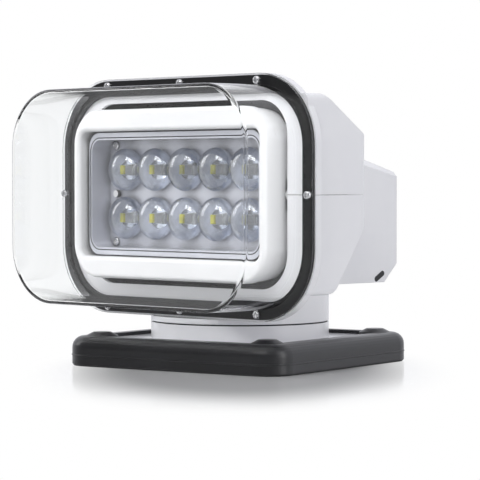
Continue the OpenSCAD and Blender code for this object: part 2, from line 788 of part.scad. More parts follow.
// Outer form of the head's body, moved inwards by d: side, front and plan outlines intersected
module body_form(d) {
    half_w = body_half_w - d;
    profile = rounded(inset(body_profile, d), [for (r = body_profile_r) max(0.3, r - d)]);
    top_z = body_top_z - d;
    bottom_z = body_bottom_z + d;
    depth = flange_front + body_back - 2 * d;
    intersection() {
        across(-half_w, 2 * half_w) polygon(profile);
        facing(flange_front - d, (top_z + bottom_z) / 2) mirror([0, 0, 1])
            rounded_slab(2 * half_w, top_z - bottom_z, depth, body_edge_r - d);
        translate([0, body_back - d - depth, bottom_z])
            rounded_slab(2 * half_w, 2 * depth, top_z - bottom_z, rear_edge_r - d + 0.5);
    }
}

module flange_plate(w, h, r, front, t, z) { facing(front - t, z) rounded_slab(w, h, t, r); }

module cheek() {
    translate([mouth_half_w, -flange_front, tilt_z - cheek_half_h])
        cube([cheek_len, cheek_depth, 2 * cheek_half_h]);
}

module housing() {
    difference() {
        union() {
            difference() {
                union() {
                    body_form(0);
                    flange_plate(flange_w, flange_h, flange_r, flange_front, flange_t, flange_z);
                }
                body_form(shell_wall);
                facing(flange_front - 2 * shell_wall, tilt_z)
                    rounded_slab(2 * mouth_half_w, 2 * mouth_half_h, 3 * shell_wall, mouth_corner_r);
                translate([-tail_opening_half_w, -chamfer_foot - cut, tail_bottom_z + tail_wall])
                    cube([2 * tail_opening_half_w, chamfer_foot + body_back + 2 * cut,
                        tail_opening_top_z - tail_bottom_z - tail_wall]);
            }
            mirrored_x() cheek();
            at_shell_lugs() translate([0, 0, tilt_z - shell_lug_h]) cylinder(r = shell_lug_r, h = 2 * shell_lug_h);
        }
        mirrored_x() cross_bar(mouth_half_w - cut, cheek_len + 2 * cut, tilt_bush_r + fit / 2, -tilt_front, tilt_z);
        at_dome_screws(flange_front + cut) cylinder(r = dome_hole_r, h = flange_t - fit + cut);
        at_shell_lugs() translate([0, 0, tilt_z - shell_lug_h - cut])
            cylinder(r = m3_hole_r, h = 2 * shell_lug_h + cut - 1);
        at_cover_posts() rotate([90, 0, 0]) translate([0, 0, -cut])
            cylinder(r = small_screw_r + fit, h = shell_wall + 2 * cut);
    }
}

module housing_lower() {
    color("white") intersection() {
        housing();
        translate([-flange_w, -flange_w, 0]) cube([2 * flange_w, 2 * flange_w, tilt_z - parting_gap / 2]);
    }
}

module housing_upper() {
    color("white") intersection() {
        housing();
        translate([-flange_w, -flange_w, tilt_z + parting_gap / 2]) cube([2 * flange_w, 2 * flange_w, flange_w]);
    }
}

// Cross-section of the rear cover with chamfered upper edges
module tail_slice(half_w, y, bottom_z, top_z, edge) {
    translate([0, y, 0]) rotate([90, 0, 0]) linear_extrude(0.02)
        polygon([[-half_w, bottom_z], [half_w, bottom_z], [half_w, top_z - edge], [half_w - edge, top_z],
            [edge - half_w, top_z], [-half_w, top_z - edge]]);
}

// Outer form of the rear cover, moved inwards by d
module tail_form(d) {
    half_w = tail_half_w - d;
    draft = 0.8;
    hull() {
        tail_slice(half_w, tail_front_y, tail_bottom_z + d, tail_top_z - d, tail_edge);
        tail_slice(half_w, tail_slope_y, tail_bottom_z + d, tail_top_z - d, tail_edge);
        tail_slice(half_w - draft, tail_back - tail_chamfer - d / 2, tail_bottom_z + d, tail_rear_top_z + 1,
            tail_edge_rear);
        tail_slice(half_w - draft, tail_back - d, tail_bottom_z + tail_chamfer + d / 2, tail_rear_top_z - d,
            tail_edge_rear);
    }
}

// Slanted slot near the lower rear edge of the cover's side
module drain_slot(x, len, r) {
    slot_y = tail_back - tail_chamfer - 1.5 * drain_slot_len / 2;
    slot_z = tail_bottom_z + drain_slot_r + drain_slot_len / 4 + 0.4;
    translate([x, slot_y, slot_z]) rotate([30, 0, 0]) {
        for (s = [-1, 1]) translate([0, s * drain_slot_len / 2, 0]) rotate([0, 90, 0]) cylinder(r = r, h = len);
        translate([0, -drain_slot_len / 2, -r]) cube([len, drain_slot_len, 2 * r]);
    }
}

module rear_cover() {
    color("white") difference() {
        union() {
            difference() {
                tail_form(0);
                tail_form(tail_wall);
            }
            intersection() {
                at_cover_posts() rotate([-90, 0, 0]) cylinder(r = cover_post_r, h = cover_post_len);
                tail_form(tail_wall / 2);
            }
            for (x = [-1, 1], z = pcb_z)
                translate([x * pcb_screw_at.x, pcb_y + pcb_t, board_screw_z(z)]) rotate([-90, 0, 0])
                    cylinder(r = post_r, h = tail_back - pcb_y - pcb_t - tail_wall / 2);
        }
        body_form(0);
        neck_opening(tail_bottom_z - cut, tail_wall + 2 * cut);
        at_neck_screws() translate([0, 0, tail_bottom_z - cut]) cylinder(r = m3_hole_r, h = tail_wall + 2 * cut);
        at_cover_posts() rotate([-90, 0, 0]) translate([0, 0, -cut])
            cylinder(r = small_screw_r + fit, h = cover_post_len);
        for (x = [-1, 1], z = pcb_z)
            translate([x * pcb_screw_at.x, pcb_y, board_screw_z(z)]) rotate([-90, 0, 0])
                cylinder(r = small_screw_r + fit, h = pcb_t + 8);
        mirrored_x() drain_slot(tail_half_w - drain_depth, 2 * drain_depth, drain_slot_r);
    }
}

function board_screw_z(z) = z == pcb_z[0] ? z + pcb_screw_at.y : z - pcb_screw_at.y;

module drain_plugs() {
    color("#1b1b1d") mirrored_x()
        drain_slot(tail_half_w - drain_depth, drain_depth - drain_recess, drain_slot_r - fit / 2);
}

module gasket() {
    outer = [flange_w - 2 * gasket_edge, flange_h - 2 * gasket_edge];
    reach = dome_wall + gasket_reach;
    color("#161618") difference() {
        flange_plate(outer.x, outer.y, flange_r - gasket_edge, gasket_front, gasket_t, flange_z);
        flange_plate(2 * (dome_half_w - reach), 2 * (dome_half_h - reach), dome_r - reach, gasket_front + cut,
            gasket_t + 2 * cut, flange_z);
        at_dome_screws(gasket_front + cut) cylinder(r = dome_hole_r, h = gasket_t + 2 * cut);
    }
}

module dome() {
    edge_r = dome_edge_r + dome_wall;
    edge_at = [dome_r - dome_draft - edge_r, dome_depth - edge_r];
    foot_r = dome_r + dome_fillet;
    profile = concat(
        [[dome_r - dome_wall, 0], [foot_r, 0], [foot_r, dome_flange_t], [dome_r, dome_flange_t + dome_fillet]],
        arc(edge_at, edge_r, 0, 90),
        [[0, dome_depth], [0, dome_depth - dome_wall]],
        arc(edge_at, dome_edge_r, 90, 0));
    core = 2 * [dome_half_w - dome_r, dome_half_h - dome_r];
    open = [2 * dome_half_w - dome_wall, 2 * dome_half_h - dome_wall];
    color("lightcyan", 0.35) difference() {
        facing(gasket_front, flange_z) {
            difference() {
                rounded_slab(flange_w, flange_h, dome_flange_t, flange_r);
                translate([0, 0, -cut])
                    rounded_slab(open.x, open.y, dome_flange_t + 2 * cut, dome_r - dome_wall / 2);
            }
            frame_sweep(2 * dome_half_w, 2 * dome_half_h, dome_r, profile);
            translate([-core.x / 2, -core.y / 2, dome_depth - dome_wall]) cube([core.x, core.y, dome_wall]);
        }
        at_dome_screws(gasket_front + dome_flange_t + cut) cylinder(r = dome_hole_r, h = dome_flange_t + 2 * cut);
    }
}

module dome_screws() {
    color("silver") at_dome_screws(gasket_front + dome_flange_t)
        pan_screw(dome_screw_r, dome_screw_len, dome_head_r, m3_head_h);
}

module tilt_bushes() {
    color("ivory") mirrored_x() difference() {
        cross_bar(mouth_half_w, cheek_len, tilt_bush_r, -tilt_front, tilt_z);
        cross_bar(mouth_half_w - cut, cheek_len + 2 * cut, tilt_pin_r + bearing, -tilt_front, tilt_z);
    }
}

module shell_screws() {
    color("silver") at_shell_lugs() translate([0, 0, tilt_z - shell_lug_h])
        pan_screw(m3_r, 2 * shell_lug_h - 2, m3_head_r, m3_head_h);
}

module cover_screws() {
    color("silver") at_cover_posts() translate([0, -shell_wall, 0]) rotate([-90, 0, 0])
        pan_screw(small_screw_r, shell_wall + cover_post_len - 2, small_head_r, small_head_h);
}

module neck_screws() {
    color("silver") at_neck_screws() translate([0, 0, tail_bottom_z + tail_wall]) mirror([0, 0, 1])
        pan_screw(m3_r, tail_wall + 4, m3_head_r, m3_head_h);
}

// Drives

// Gearbox standing on Z = 0 with its output at the bottom
module gearbox() {
    difference() {
        union() {
            cylinder(r = gearbox_r, h = gearbox_len);
            for (s = [-1, 1]) translate([s * gearbox_ear_at, 0, 0]) cylinder(r = gearbox_ear_r, h = gearbox_ear_t);
            translate([-gearbox_ear_at, -gearbox_ear_r, 0]) cube([2 * gearbox_ear_at, 2 * gearbox_ear_r, gearbox_ear_t]);
        }
        translate([0, 0, -cut]) cylinder(r = shaft_r + bearing, h = shaft_depth + 1 + cut);
        for (s = [-1, 1]) translate([s * gearbox_ear_at, 0, -cut])
            cylinder(r = small_screw_r + fit, h = gearbox_ear_t + 2 * cut);
    }
}

module motor() {
    cylinder(r = motor_r, h = motor_len);
    translate([0, 0, motor_len]) cylinder(r = motor_r / 2, h = motor_cap_h);
}

module at_pan_drive(z) { translate([pan_drive_at.x, pan_drive_at.y, z]) children(); }

// Local Z runs along +X from the bracket's face, and local X runs along Z
module at_tilt_drive(x) { translate([x, tilt_drive_y, tilt_z]) rotate([0, 90, 0]) children(); }

module pan_gearbox() { color("dimgray") at_pan_drive(turret_floor_z) gearbox(); }

module pan_motor() { color("silver") at_pan_drive(turret_floor_z + gearbox_len) motor(); }

module tilt_gearbox() { color("dimgray") at_tilt_drive(bracket_x + bracket_t) gearbox(); }

module tilt_motor() { color("silver") at_tilt_drive(bracket_x + bracket_t + gearbox_len) motor(); }

module gearbox_screws() {
    color("silver") {
        at_pan_drive(turret_floor_z + gearbox_ear_t) ear_screws(gearbox_ear_t + turret_floor_t - thread_room);
        at_tilt_drive(bracket_x + bracket_t + gearbox_ear_t) ear_screws(gearbox_ear_t + bracket_t);
    }
}

module ear_screws(len) {
    for (s = [-1, 1]) translate([s * gearbox_ear_at, 0, 0]) mirror([0, 0, 1])
        pan_screw(small_screw_r, len, small_head_r, small_head_h);
}

module tilt_bracket() {
    foot_z = tail_bottom_z + tail_wall;
    top_z = tilt_z + gearbox_ear_at + gearbox_ear_r + 1;
    color("gainsboro") difference() {
        union() {
            translate([bracket_x, tilt_drive_y - bracket_half_y, foot_z])
                cube([bracket_t, 2 * bracket_half_y, top_z - foot_z]);
            translate([bracket_x, tilt_drive_y - bracket_half_y, foot_z])
                cube([bracket_foot_len, 2 * bracket_half_y, bracket_t]);
        }
        at_tilt_drive(bracket_x - cut) cylinder(r = gearbox_boss_r + fit, h = bracket_t + 2 * cut);
        at_tilt_drive(bracket_x - cut) for (s = [-1, 1]) translate([s * gearbox_ear_at, 0, 0])
            cylinder(r = small_screw_r + fit, h = bracket_t + 2 * cut);
    }
}

// Pinion of module m and width w with its shaft of length len beyond the teeth
module pinion(m, w, len) {
    linear_extrude(w) polygon(tooth_points(pinion_teeth, m, dedendum, addendum, backlash / 4, 0, pinion_teeth - 1));
    cylinder(r = shaft_r, h = w + len);
}

module pan_pinion() {
    z = plate_top_z + pinion_gap;
    w = ring_gear_h - 2 * pinion_gap;
    color("goldenrod") at_pan_drive(z) rotate([0, 0, pan_drive_angle])
        pinion(pan_m, w, turret_floor_z + shaft_depth - z - w);
}

module tilt_pinion() {
    color("goldenrod") translate([-pinion_w / 2, tilt_drive_y, tilt_z]) rotate([90, 0, 90])
        pinion(tilt_m, pinion_w, bracket_x + bracket_t + shaft_depth - pinion_w / 2);
}

module control_board() {
    pcb_h = pcb_z[1] - pcb_z[0];
    chips = [[-18, 22, 12, 14, 9], [0, 22, 12, 14, 9], [14, 20, 10, 18, 4], [-10, 9, 16, 8, 5], [8, 8, 10, 8, 6]];
    color("darkgreen") difference() {
        union() {
            translate([-pcb_half_w, pcb_y, pcb_z[0]]) cube([2 * pcb_half_w, pcb_t, pcb_h]);
            for (c = chips) translate([c[0] - c[2] / 2, pcb_y - c[4], pcb_z[0] + c[1] - c[3] / 2])
                cube([c[2], c[4], c[3]]);
        }
        for (x = [-1, 1], z = pcb_z)
            translate([x * pcb_screw_at.x, pcb_y - cut, board_screw_z(z)]) rotate([-90, 0, 0])
                cylinder(r = small_screw_r + fit, h = pcb_t + 2 * cut);
    }
}

module board_screws() {
    color("silver") for (x = [-1, 1], z = pcb_z)
        translate([x * pcb_screw_at.x, pcb_y, board_screw_z(z)]) rotate([-90, 0, 0])
            pan_screw(small_screw_r, pcb_t + 6, small_head_r, small_head_h);
}

// Lamp

// Hollow cowl behind the bezel, chamfered at its back to swing clear of the shell
module cowl() {
    depth = bezel_back - tilt_front;
    back_half_h = cowl_half_h - cowl_chamfer.y;
    side = [[-depth, -cowl_half_h], [-cowl_chamfer.x, -cowl_half_h], [0, -back_half_h], [0, back_half_h],
        [-cowl_chamfer.x, cowl_half_h], [-depth, cowl_half_h]];
    difference() {
        intersection() {
            facing(tilt_front, tilt_z) rounded_slab(2 * cowl_half_w, 2 * cowl_half_h, depth, cowl_corner_r);
            translate([0, -tilt_front, tilt_z]) across(-cowl_half_w, 2 * cowl_half_w) polygon(side);
        }
        facing(tilt_front - cut, tilt_z) rounded_slab(2 * (cowl_half_w - cowl_wall),
            2 * (back_half_h - cowl_wall), depth + cut, cowl_corner_r - cowl_wall);
    }
}

// Cut that rounds the bezel's edge round the window
module window_flare() {
    lap = 0.05;
    reach = window_corner_r + bezel_edge_r - lap;
    flare_z = bezel_t - bezel_edge_r;
    profile = concat([[0, flare_z]], arc([reach, flare_z], bezel_edge_r, 180, 90),
        [[reach, bezel_t + cut], [0, bezel_t + cut]]);
    facing(bezel_back, tilt_z) frame_sweep(2 * (window_half_w + bezel_edge_r - lap),
        2 * (window_half_h + bezel_edge_r - lap), reach, profile);
}

module lamp_frame() {
    edge_z = bezel_t - bezel_edge_r;
    profile = concat([[0, 0], [bezel_corner_r, 0]],
        arc([bezel_corner_r - bezel_edge_r, edge_z], bezel_edge_r, 0, 90), [[0, bezel_t]]);
    core = [2 * (lamp_half_w - bezel_corner_r), 2 * (lamp_half_h - bezel_corner_r)];
    skirt_depth = bezel_back - sink_front;
    color("white") difference() {
        union() {
            intersection() {
                facing(bezel_back, tilt_z) {
                    frame_sweep(2 * lamp_half_w, 2 * lamp_half_h, bezel_corner_r, profile);
                    translate([-core.x / 2, -core.y / 2, 0]) cube([core.x, core.y, bezel_t]);
                }
                cross_bar(-flange_w / 2, flange_w, lamp_r, -tilt_front, tilt_z);
            }
            cowl();
            facing(sink_front, tilt_z) rounded_slab(2 * lamp_half_w, 2 * skirt_half_h, skirt_depth, skirt_corner_r);
        }
        facing(sink_front - cut, tilt_z)
            rounded_slab(2 * window_half_w, 2 * window_half_h, bezel_front, window_corner_r);
        window_flare();
        facing(sink_front - cut, tilt_z) rounded_slab(2 * (lamp_half_w - skirt_side),
            2 * (skirt_half_h - skirt_wall), skirt_depth + cut, skirt_corner_r - skirt_wall);
        mirrored_x() cross_bar(window_half_w - 4, lamp_half_w, tilt_pin_r + 0.02, -tilt_front, tilt_z);
        at_corners(sink_screw_at, sink_front - cut) rotate([90, 0, 0])
            cylinder(r = small_screw_r + fit, h = sink_screw_len - sink_base_t + 2 * cut);
    }
}

module led_panel() {
    color("silver") difference() {
        facing(board_front, tilt_z)
            rounded_slab(2 * panel_half_w, 2 * panel_half_h, panel_t + panel_depth, panel_corner_r);
        facing(panel_front, tilt_z) rounded_slab(2 * (panel_half_w - panel_t), 2 * (panel_half_h - panel_t),
            panel_depth + cut, panel_corner_r - panel_t);
        at_lenses() rotate([-90, 0, 0]) translate([0, 0, -cut]) cylinder(r = emitter_hole_r, h = panel_t + 2 * cut);
        at_corners(panel_screw_at, panel_front + cut) rotate([-90, 0, 0])
            cylinder(r = small_screw_r + fit, h = panel_t + 2 * cut);
    }
}

module lenses() {
    dome = [for (a = [0:6:84]) [lens_r * cos(a), lens_foot + lens_rise * sin(a)]];
    color("aliceblue", 0.4) at_lenses() rotate([90, 0, 0])
        rotate_extrude() polygon(concat([[0, 0], [0.9 * lens_r, 0]], dome, [[0, lens_foot + lens_rise]]));
}

module led_emitters() {
    color("khaki") at_lenses() translate([-emitter / 2, panel_t - emitter_h, -emitter / 2])
        cube([emitter, emitter_h, emitter]);
}

module led_board() {
    color("gainsboro") difference() {
        facing(sink_front, tilt_z) rounded_slab(2 * (panel_half_w - board_inset.x),
            2 * (panel_half_h - board_inset.y), board_t, 2);
        at_corners(panel_screw_at, board_front + cut) rotate([-90, 0, 0])
            cylinder(r = small_screw_r + fit, h = board_t + 2 * cut);
    }
}

module heat_sink() {
    base_gap = 0.4;
    color("gray") difference() {
        union() {
            facing(sink_back, tilt_z) rounded_slab(2 * (lamp_half_w - base_gap), 2 * (skirt_half_h - base_gap),
                sink_base_t, skirt_corner_r);
            for (s = [-1, 1], i = [1:fin_count])
                translate([s * i * fin_pitch - fin_t / 2, -sink_back, tilt_z - fin_half_h])
                    cube([fin_t, fin_h, 2 * fin_half_h]);
        }
        at_corners(panel_screw_at, sink_front + cut) rotate([-90, 0, 0])
            cylinder(r = small_screw_r + fit, h = sink_base_t - 1 + cut);
        at_corners(sink_screw_at, sink_front + cut) rotate([-90, 0, 0])
            cylinder(r = small_screw_r + fit, h = sink_base_t + 2 * cut);
    }
}

module sink_screws() {
    color("silver") at_corners(sink_screw_at, sink_back) rotate([90, 0, 0])
        pan_screw(small_screw_r, sink_screw_len, small_head_r, small_head_h);
}

module panel_screws() {
    color("silver") at_corners(panel_screw_at, panel_front) rotate([-90, 0, 0])
        pan_screw(small_screw_r, panel_t + board_t + sink_base_t - 2, small_head_r, small_head_h);
}

module panel_pegs() {
    color("white") mirrored_x() facing(panel_front, tilt_z) translate([panel_peg_x, 0, 0])
        cylinder(r = panel_peg_r, h = panel_peg_h);
}

module tilt_pins() {
    inner_x = lamp_half_w - skirt_side;
    color("silver") mirrored_x() cross_bar(inner_x, pin_end - inner_x, tilt_pin_r, -tilt_front, tilt_z);
}

module tilt_spacers() {
    spacer_r = 3.6;
    color("ivory") mirrored_x() difference() {
        cross_bar(lamp_half_w, mouth_half_w - run - lamp_half_w, spacer_r, -tilt_front, tilt_z);
        cross_bar(lamp_half_w - cut, mouth_half_w, tilt_pin_r + 0.02, -tilt_front, tilt_z);
    }
}

module tilt_sector() {
    rim_r = sector_pitch_r - sector_rim;
    half_angle = (sector_half_teeth + 0.5) * 360 / sector_teeth;
    web_angle = 20;
    rim = concat(tooth_points(sector_teeth, tilt_m, dedendum, addendum, backlash / 4, -sector_half_teeth,
        sector_half_teeth), arc([0, 0], rim_r, half_angle, -half_angle, 12));
    web_y = tilt_front - sink_back;
    web = concat([[web_y, -rim_r * sin(web_angle)]],
        arc([0, 0], rim_r + 1, -web_angle, web_angle), [[web_y, rim_r * sin(web_angle)]]);
    color("ivory") translate([0, -tilt_front, tilt_z]) {
        across(-sector_w / 2, sector_w) polygon(rim);
        across(-sector_w / 2, sector_w) polygon(web);
    }
}

rubber_boot();
base_plate();
magnet_cups();
magnets();
magnet_screws();
pan_ring_gear();
ring_gear_screws();
spindle();
lock_nut();
thrust_washer();
nut_washer();
spindle_nut();
turret_seal();
cable_gland();
turret();
pan_bush();
housing_lower();
housing_upper();
rear_cover();
gasket();
dome();
dome_screws();
tilt_bushes();
shell_screws();
cover_screws();
neck_screws();
pan_gearbox();
pan_motor();
tilt_bracket();
tilt_gearbox();
tilt_motor();
gearbox_screws();
control_board();
board_screws();
drain_plugs();
pan_pinion();
tilt_pinion();
lamp_frame();
led_panel();
lenses();
led_emitters();
led_board();
heat_sink();
sink_screws();
panel_screws();
panel_pegs();
tilt_pins();
tilt_spacers();
tilt_sector();
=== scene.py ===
"""Looks of a marine searchlight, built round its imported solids.

The head pans on a magnetic base, and a tilting lamp sits behind a deep clear dome.
Sizes are in millimetres where a name ends in _mm and in metres elsewhere.
The frame is the part's own: the beam leaves along -Y, Z is up, and the pan axis is at the origin.
"""

import json
import logging
import math
from abc import ABC, abstractmethod
from dataclasses import dataclass, field
from enum import Enum
from functools import reduce

import bmesh
import bpy
import numpy as np
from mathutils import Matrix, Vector


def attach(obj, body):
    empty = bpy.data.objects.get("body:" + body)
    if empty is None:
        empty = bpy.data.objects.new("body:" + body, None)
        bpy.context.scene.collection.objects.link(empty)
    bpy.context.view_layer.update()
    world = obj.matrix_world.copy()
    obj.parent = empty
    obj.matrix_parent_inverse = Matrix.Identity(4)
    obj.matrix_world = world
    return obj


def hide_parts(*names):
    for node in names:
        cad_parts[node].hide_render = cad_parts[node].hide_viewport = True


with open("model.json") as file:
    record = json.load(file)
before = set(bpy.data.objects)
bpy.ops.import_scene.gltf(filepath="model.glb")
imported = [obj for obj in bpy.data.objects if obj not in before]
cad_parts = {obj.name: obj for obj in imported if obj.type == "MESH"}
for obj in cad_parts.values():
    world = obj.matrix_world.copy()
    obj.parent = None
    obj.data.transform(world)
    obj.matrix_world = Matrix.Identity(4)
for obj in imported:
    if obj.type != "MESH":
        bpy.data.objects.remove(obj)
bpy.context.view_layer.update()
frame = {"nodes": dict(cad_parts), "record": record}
LOG = logging.getLogger("searchlight")
MM = 0.001

# Points closer than the first distance are merged, and faces thinner than the second are dropped
MERGE_DISTANCE = 2e-6
FLAT_DISTANCE = 1e-7

# Rays per shading point of the rounded edges and of the painted shade in narrow gaps
EDGE_SAMPLES = 6
SHADE_SAMPLES = 8

Pair = tuple[float, float]
Triple = tuple[float, float, float]
Plane = tuple[float, float, float, float]


class Body(Enum):
    """The rigid bodies that pieces are made for."""

    BASE = "base"
    HEAD = "head"
    LAMP = "lamp"


class Grain(Enum):
    """How the fine relief of a surface is drawn."""

    MOULDED = "moulded"
    PEBBLED = "pebbled"
    BRUSHED = "brushed"


# Mesh helpers


def surface(grid: np.ndarray) -> tuple[np.ndarray, np.ndarray]:
    """Points of a grid and the quads between them, closed round its first axis.

    Args:
        grid: Points of shape (rows, columns, 3).

    Returns:
        The points in one list, where (i, j) has the number i * columns + j, and four numbers per quad.
    """
    rows, columns = grid.shape[:2]
    i = np.arange(rows)[:, None]
    j = np.arange(columns - 1)[None, :]
    here = i * columns + j
    after = (i + 1) % rows * columns + j
    return grid.reshape(-1, 3), np.stack([here, after, after + 1, here + 1], -1).reshape(-1, 4)


def joined(grids: list[np.ndarray]) -> tuple[np.ndarray, np.ndarray]:
    """Joins the surfaces of grids into one list of points and one list of quads.

    Args:
        grids: Points of shape (rows, columns, 3) each.

    Returns:
        All points and all quads, their numbers shifted to match.
    """
    points, quads = zip(*map(surface, grids))
    starts = np.cumsum([0] + [len(p) for p in points[:-1]])
    return np.concatenate(points), np.concatenate([q + s for q, s in zip(quads, starts)])


def close_mesh(mesh: bpy.types.Mesh) -> None:
    """Merges points that coincide, drops flattened faces and turns all faces outwards.

    Args:
        mesh: The mesh to change.
    """
    work = bmesh.new()
    work.from_mesh(mesh)
    bmesh.ops.remove_doubles(work, verts=work.verts, dist=MERGE_DISTANCE)
    bmesh.ops.dissolve_degenerate(work, dist=FLAT_DISTANCE, edges=work.edges)
    bmesh.ops.recalc_face_normals(work, faces=work.faces)
    work.to_mesh(mesh)
    work.free()


def make_piece(name: str, grids: list[np.ndarray], body: Body,
               sharp_deg: float) -> bpy.types.Object:
    """Makes one smooth-shaded object from grids given in millimetres.

    Args:
        name: Name of the piece.
        grids: Points of shape (rows, columns, 3) each, in millimetres.
        body: The body that the piece rides on.
        sharp_deg: Edges that turn by more than this stay sharp.

    Returns:
        The linked object at the origin.
    """
    points, quads = joined(grids)
    mesh = bpy.data.meshes.new(name)
    mesh.from_pydata((points * MM).tolist(), [], quads.tolist())
    piece = bpy.data.objects.new(name, mesh)
    bpy.context.scene.collection.objects.link(piece)
    close_mesh(mesh)
    mesh.polygons.foreach_set("use_smooth", np.ones(len(mesh.polygons), bool))
    mesh.set_sharp_from_angle(angle=math.radians(sharp_deg))
    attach(piece, body.value)
    LOG.info("made %s: %d faces on %s", name, len(mesh.polygons), body.value)
    return piece


@dataclass(frozen=True)
class RoundedFrame:
    """A rounded rectangle that profiles are carried round, in the X-Z plane.

    A point at distance p from the corner centres lies at centre + p * outward normal.
    """

    half_w_mm: float
    half_h_mm: float
    corner_mm: float
    centre_z_mm: float = 0.0
    per_corner: int = 14
    per_side: int = 6

    def stations(self) -> tuple[np.ndarray, np.ndarray]:
        """Points on the rectangle of the corner centres, counter-clockwise from the upper right one.

        Returns:
            The points and the outward normals, each of shape (stations, 2).
        """
        reach = np.array([self.half_w_mm, self.half_h_mm]) - self.corner_mm
        corners = np.array([[1, 1], [-1, 1], [-1, -1], [1, -1]]) * reach
        turn = np.linspace(0, math.pi / 2, self.per_corner)
        share = np.linspace(0, 1, self.per_side + 2)[1:-1, None]
        runs, facing = [], []
        for k, corner in enumerate(corners):
            angles = turn + k * math.pi / 2
            normals = np.stack([np.cos(angles), np.sin(angles)], -1)
            runs.append(np.repeat(corner[None, :], self.per_corner, axis=0))
            runs.append(corner * (1 - share) + corners[(k + 1) % 4] * share)
            facing.append(normals)
            facing.append(np.repeat(normals[-1:], self.per_side, axis=0))
        return np.concatenate(runs), np.concatenate(facing)

    def upright(self, flat: np.ndarray, front_mm: np.ndarray | float) -> np.ndarray:
        """Stands (x, z) points of shape (stations, M, 2) up in front of the pan axis."""
        depth = np.broadcast_to(np.negative(front_mm), flat.shape[:2])
        return np.stack([flat[..., 0], depth, flat[..., 1] + self.centre_z_mm], -1)

    def carry(self, profile: np.ndarray) -> np.ndarray:
        """Carries (outward p, forward distance) pairs round the frame.

        Args:
            profile: M rows of p and the distance in front of the pan axis, in millimetres.

        Returns:
            Points of shape (stations, M, 3).
        """
        centres, normals = self.stations()
        flat = centres[:, None, :] + profile[None, :, :1] * normals[:, None, :]
        return self.upright(flat, profile[None, :, 1])

    def lid(self, front_mm: float, rings: int = 6) -> np.ndarray:
        """Closes the inner rectangle at one depth: its outline shrinks in steps to its centre.

        Args:
            front_mm: Distance in front of the pan axis.
            rings: Number of outlines, the point at the centre included.

        Returns:
            Points of shape (stations, rings, 3).
        """
        centres, _ = self.stations()
        scale = np.linspace(1, 0, rings)
        return self.upright(centres[:, None, :] * scale[None, :, None], front_mm)


def arc_points(centre: Pair, radius: float, start_deg: float, end_deg: float, count: int) -> np.ndarray:
    """Points of a circular arc: centre + radius * (cos, sin) of evenly spaced angles."""
    a = np.radians(np.linspace(start_deg, end_deg, count))
    return np.array(centre) + radius * np.stack([np.cos(a), np.sin(a)], -1)


def turned(profile: np.ndarray, count: int) -> np.ndarray:
    """Turns (radius, height) pairs about Z.

    Args:
        profile: M rows of radius and height.
        count: Number of steps round the axis.

    Returns:
        Points of shape (count, M, 3).
    """
    a = np.linspace(0, 2 * math.pi, count, endpoint=False)[:, None]
    r = profile[None, :, 0]
    h = np.broadcast_to(profile[None, :, 1], (count, len(profile)))
    return np.stack([r * np.cos(a), r * np.sin(a), h], -1)


def forwards(points: np.ndarray, place_mm: Triple) -> np.ndarray:
    """Turns a shape standing on Z so that it faces -Y, then moves it: (x, y, z) to (x, -z, y)."""
    return np.stack([points[..., 0], -points[..., 2], points[..., 1]], -1) + np.array(place_mm)


def below(value: np.ndarray, edge: float, blur: float) -> np.ndarray:
    """Near one where a value is below an edge and near nought above it, with a soft change between."""
    return 1 / (1 + np.exp((value - edge) / blur))


# Finishes


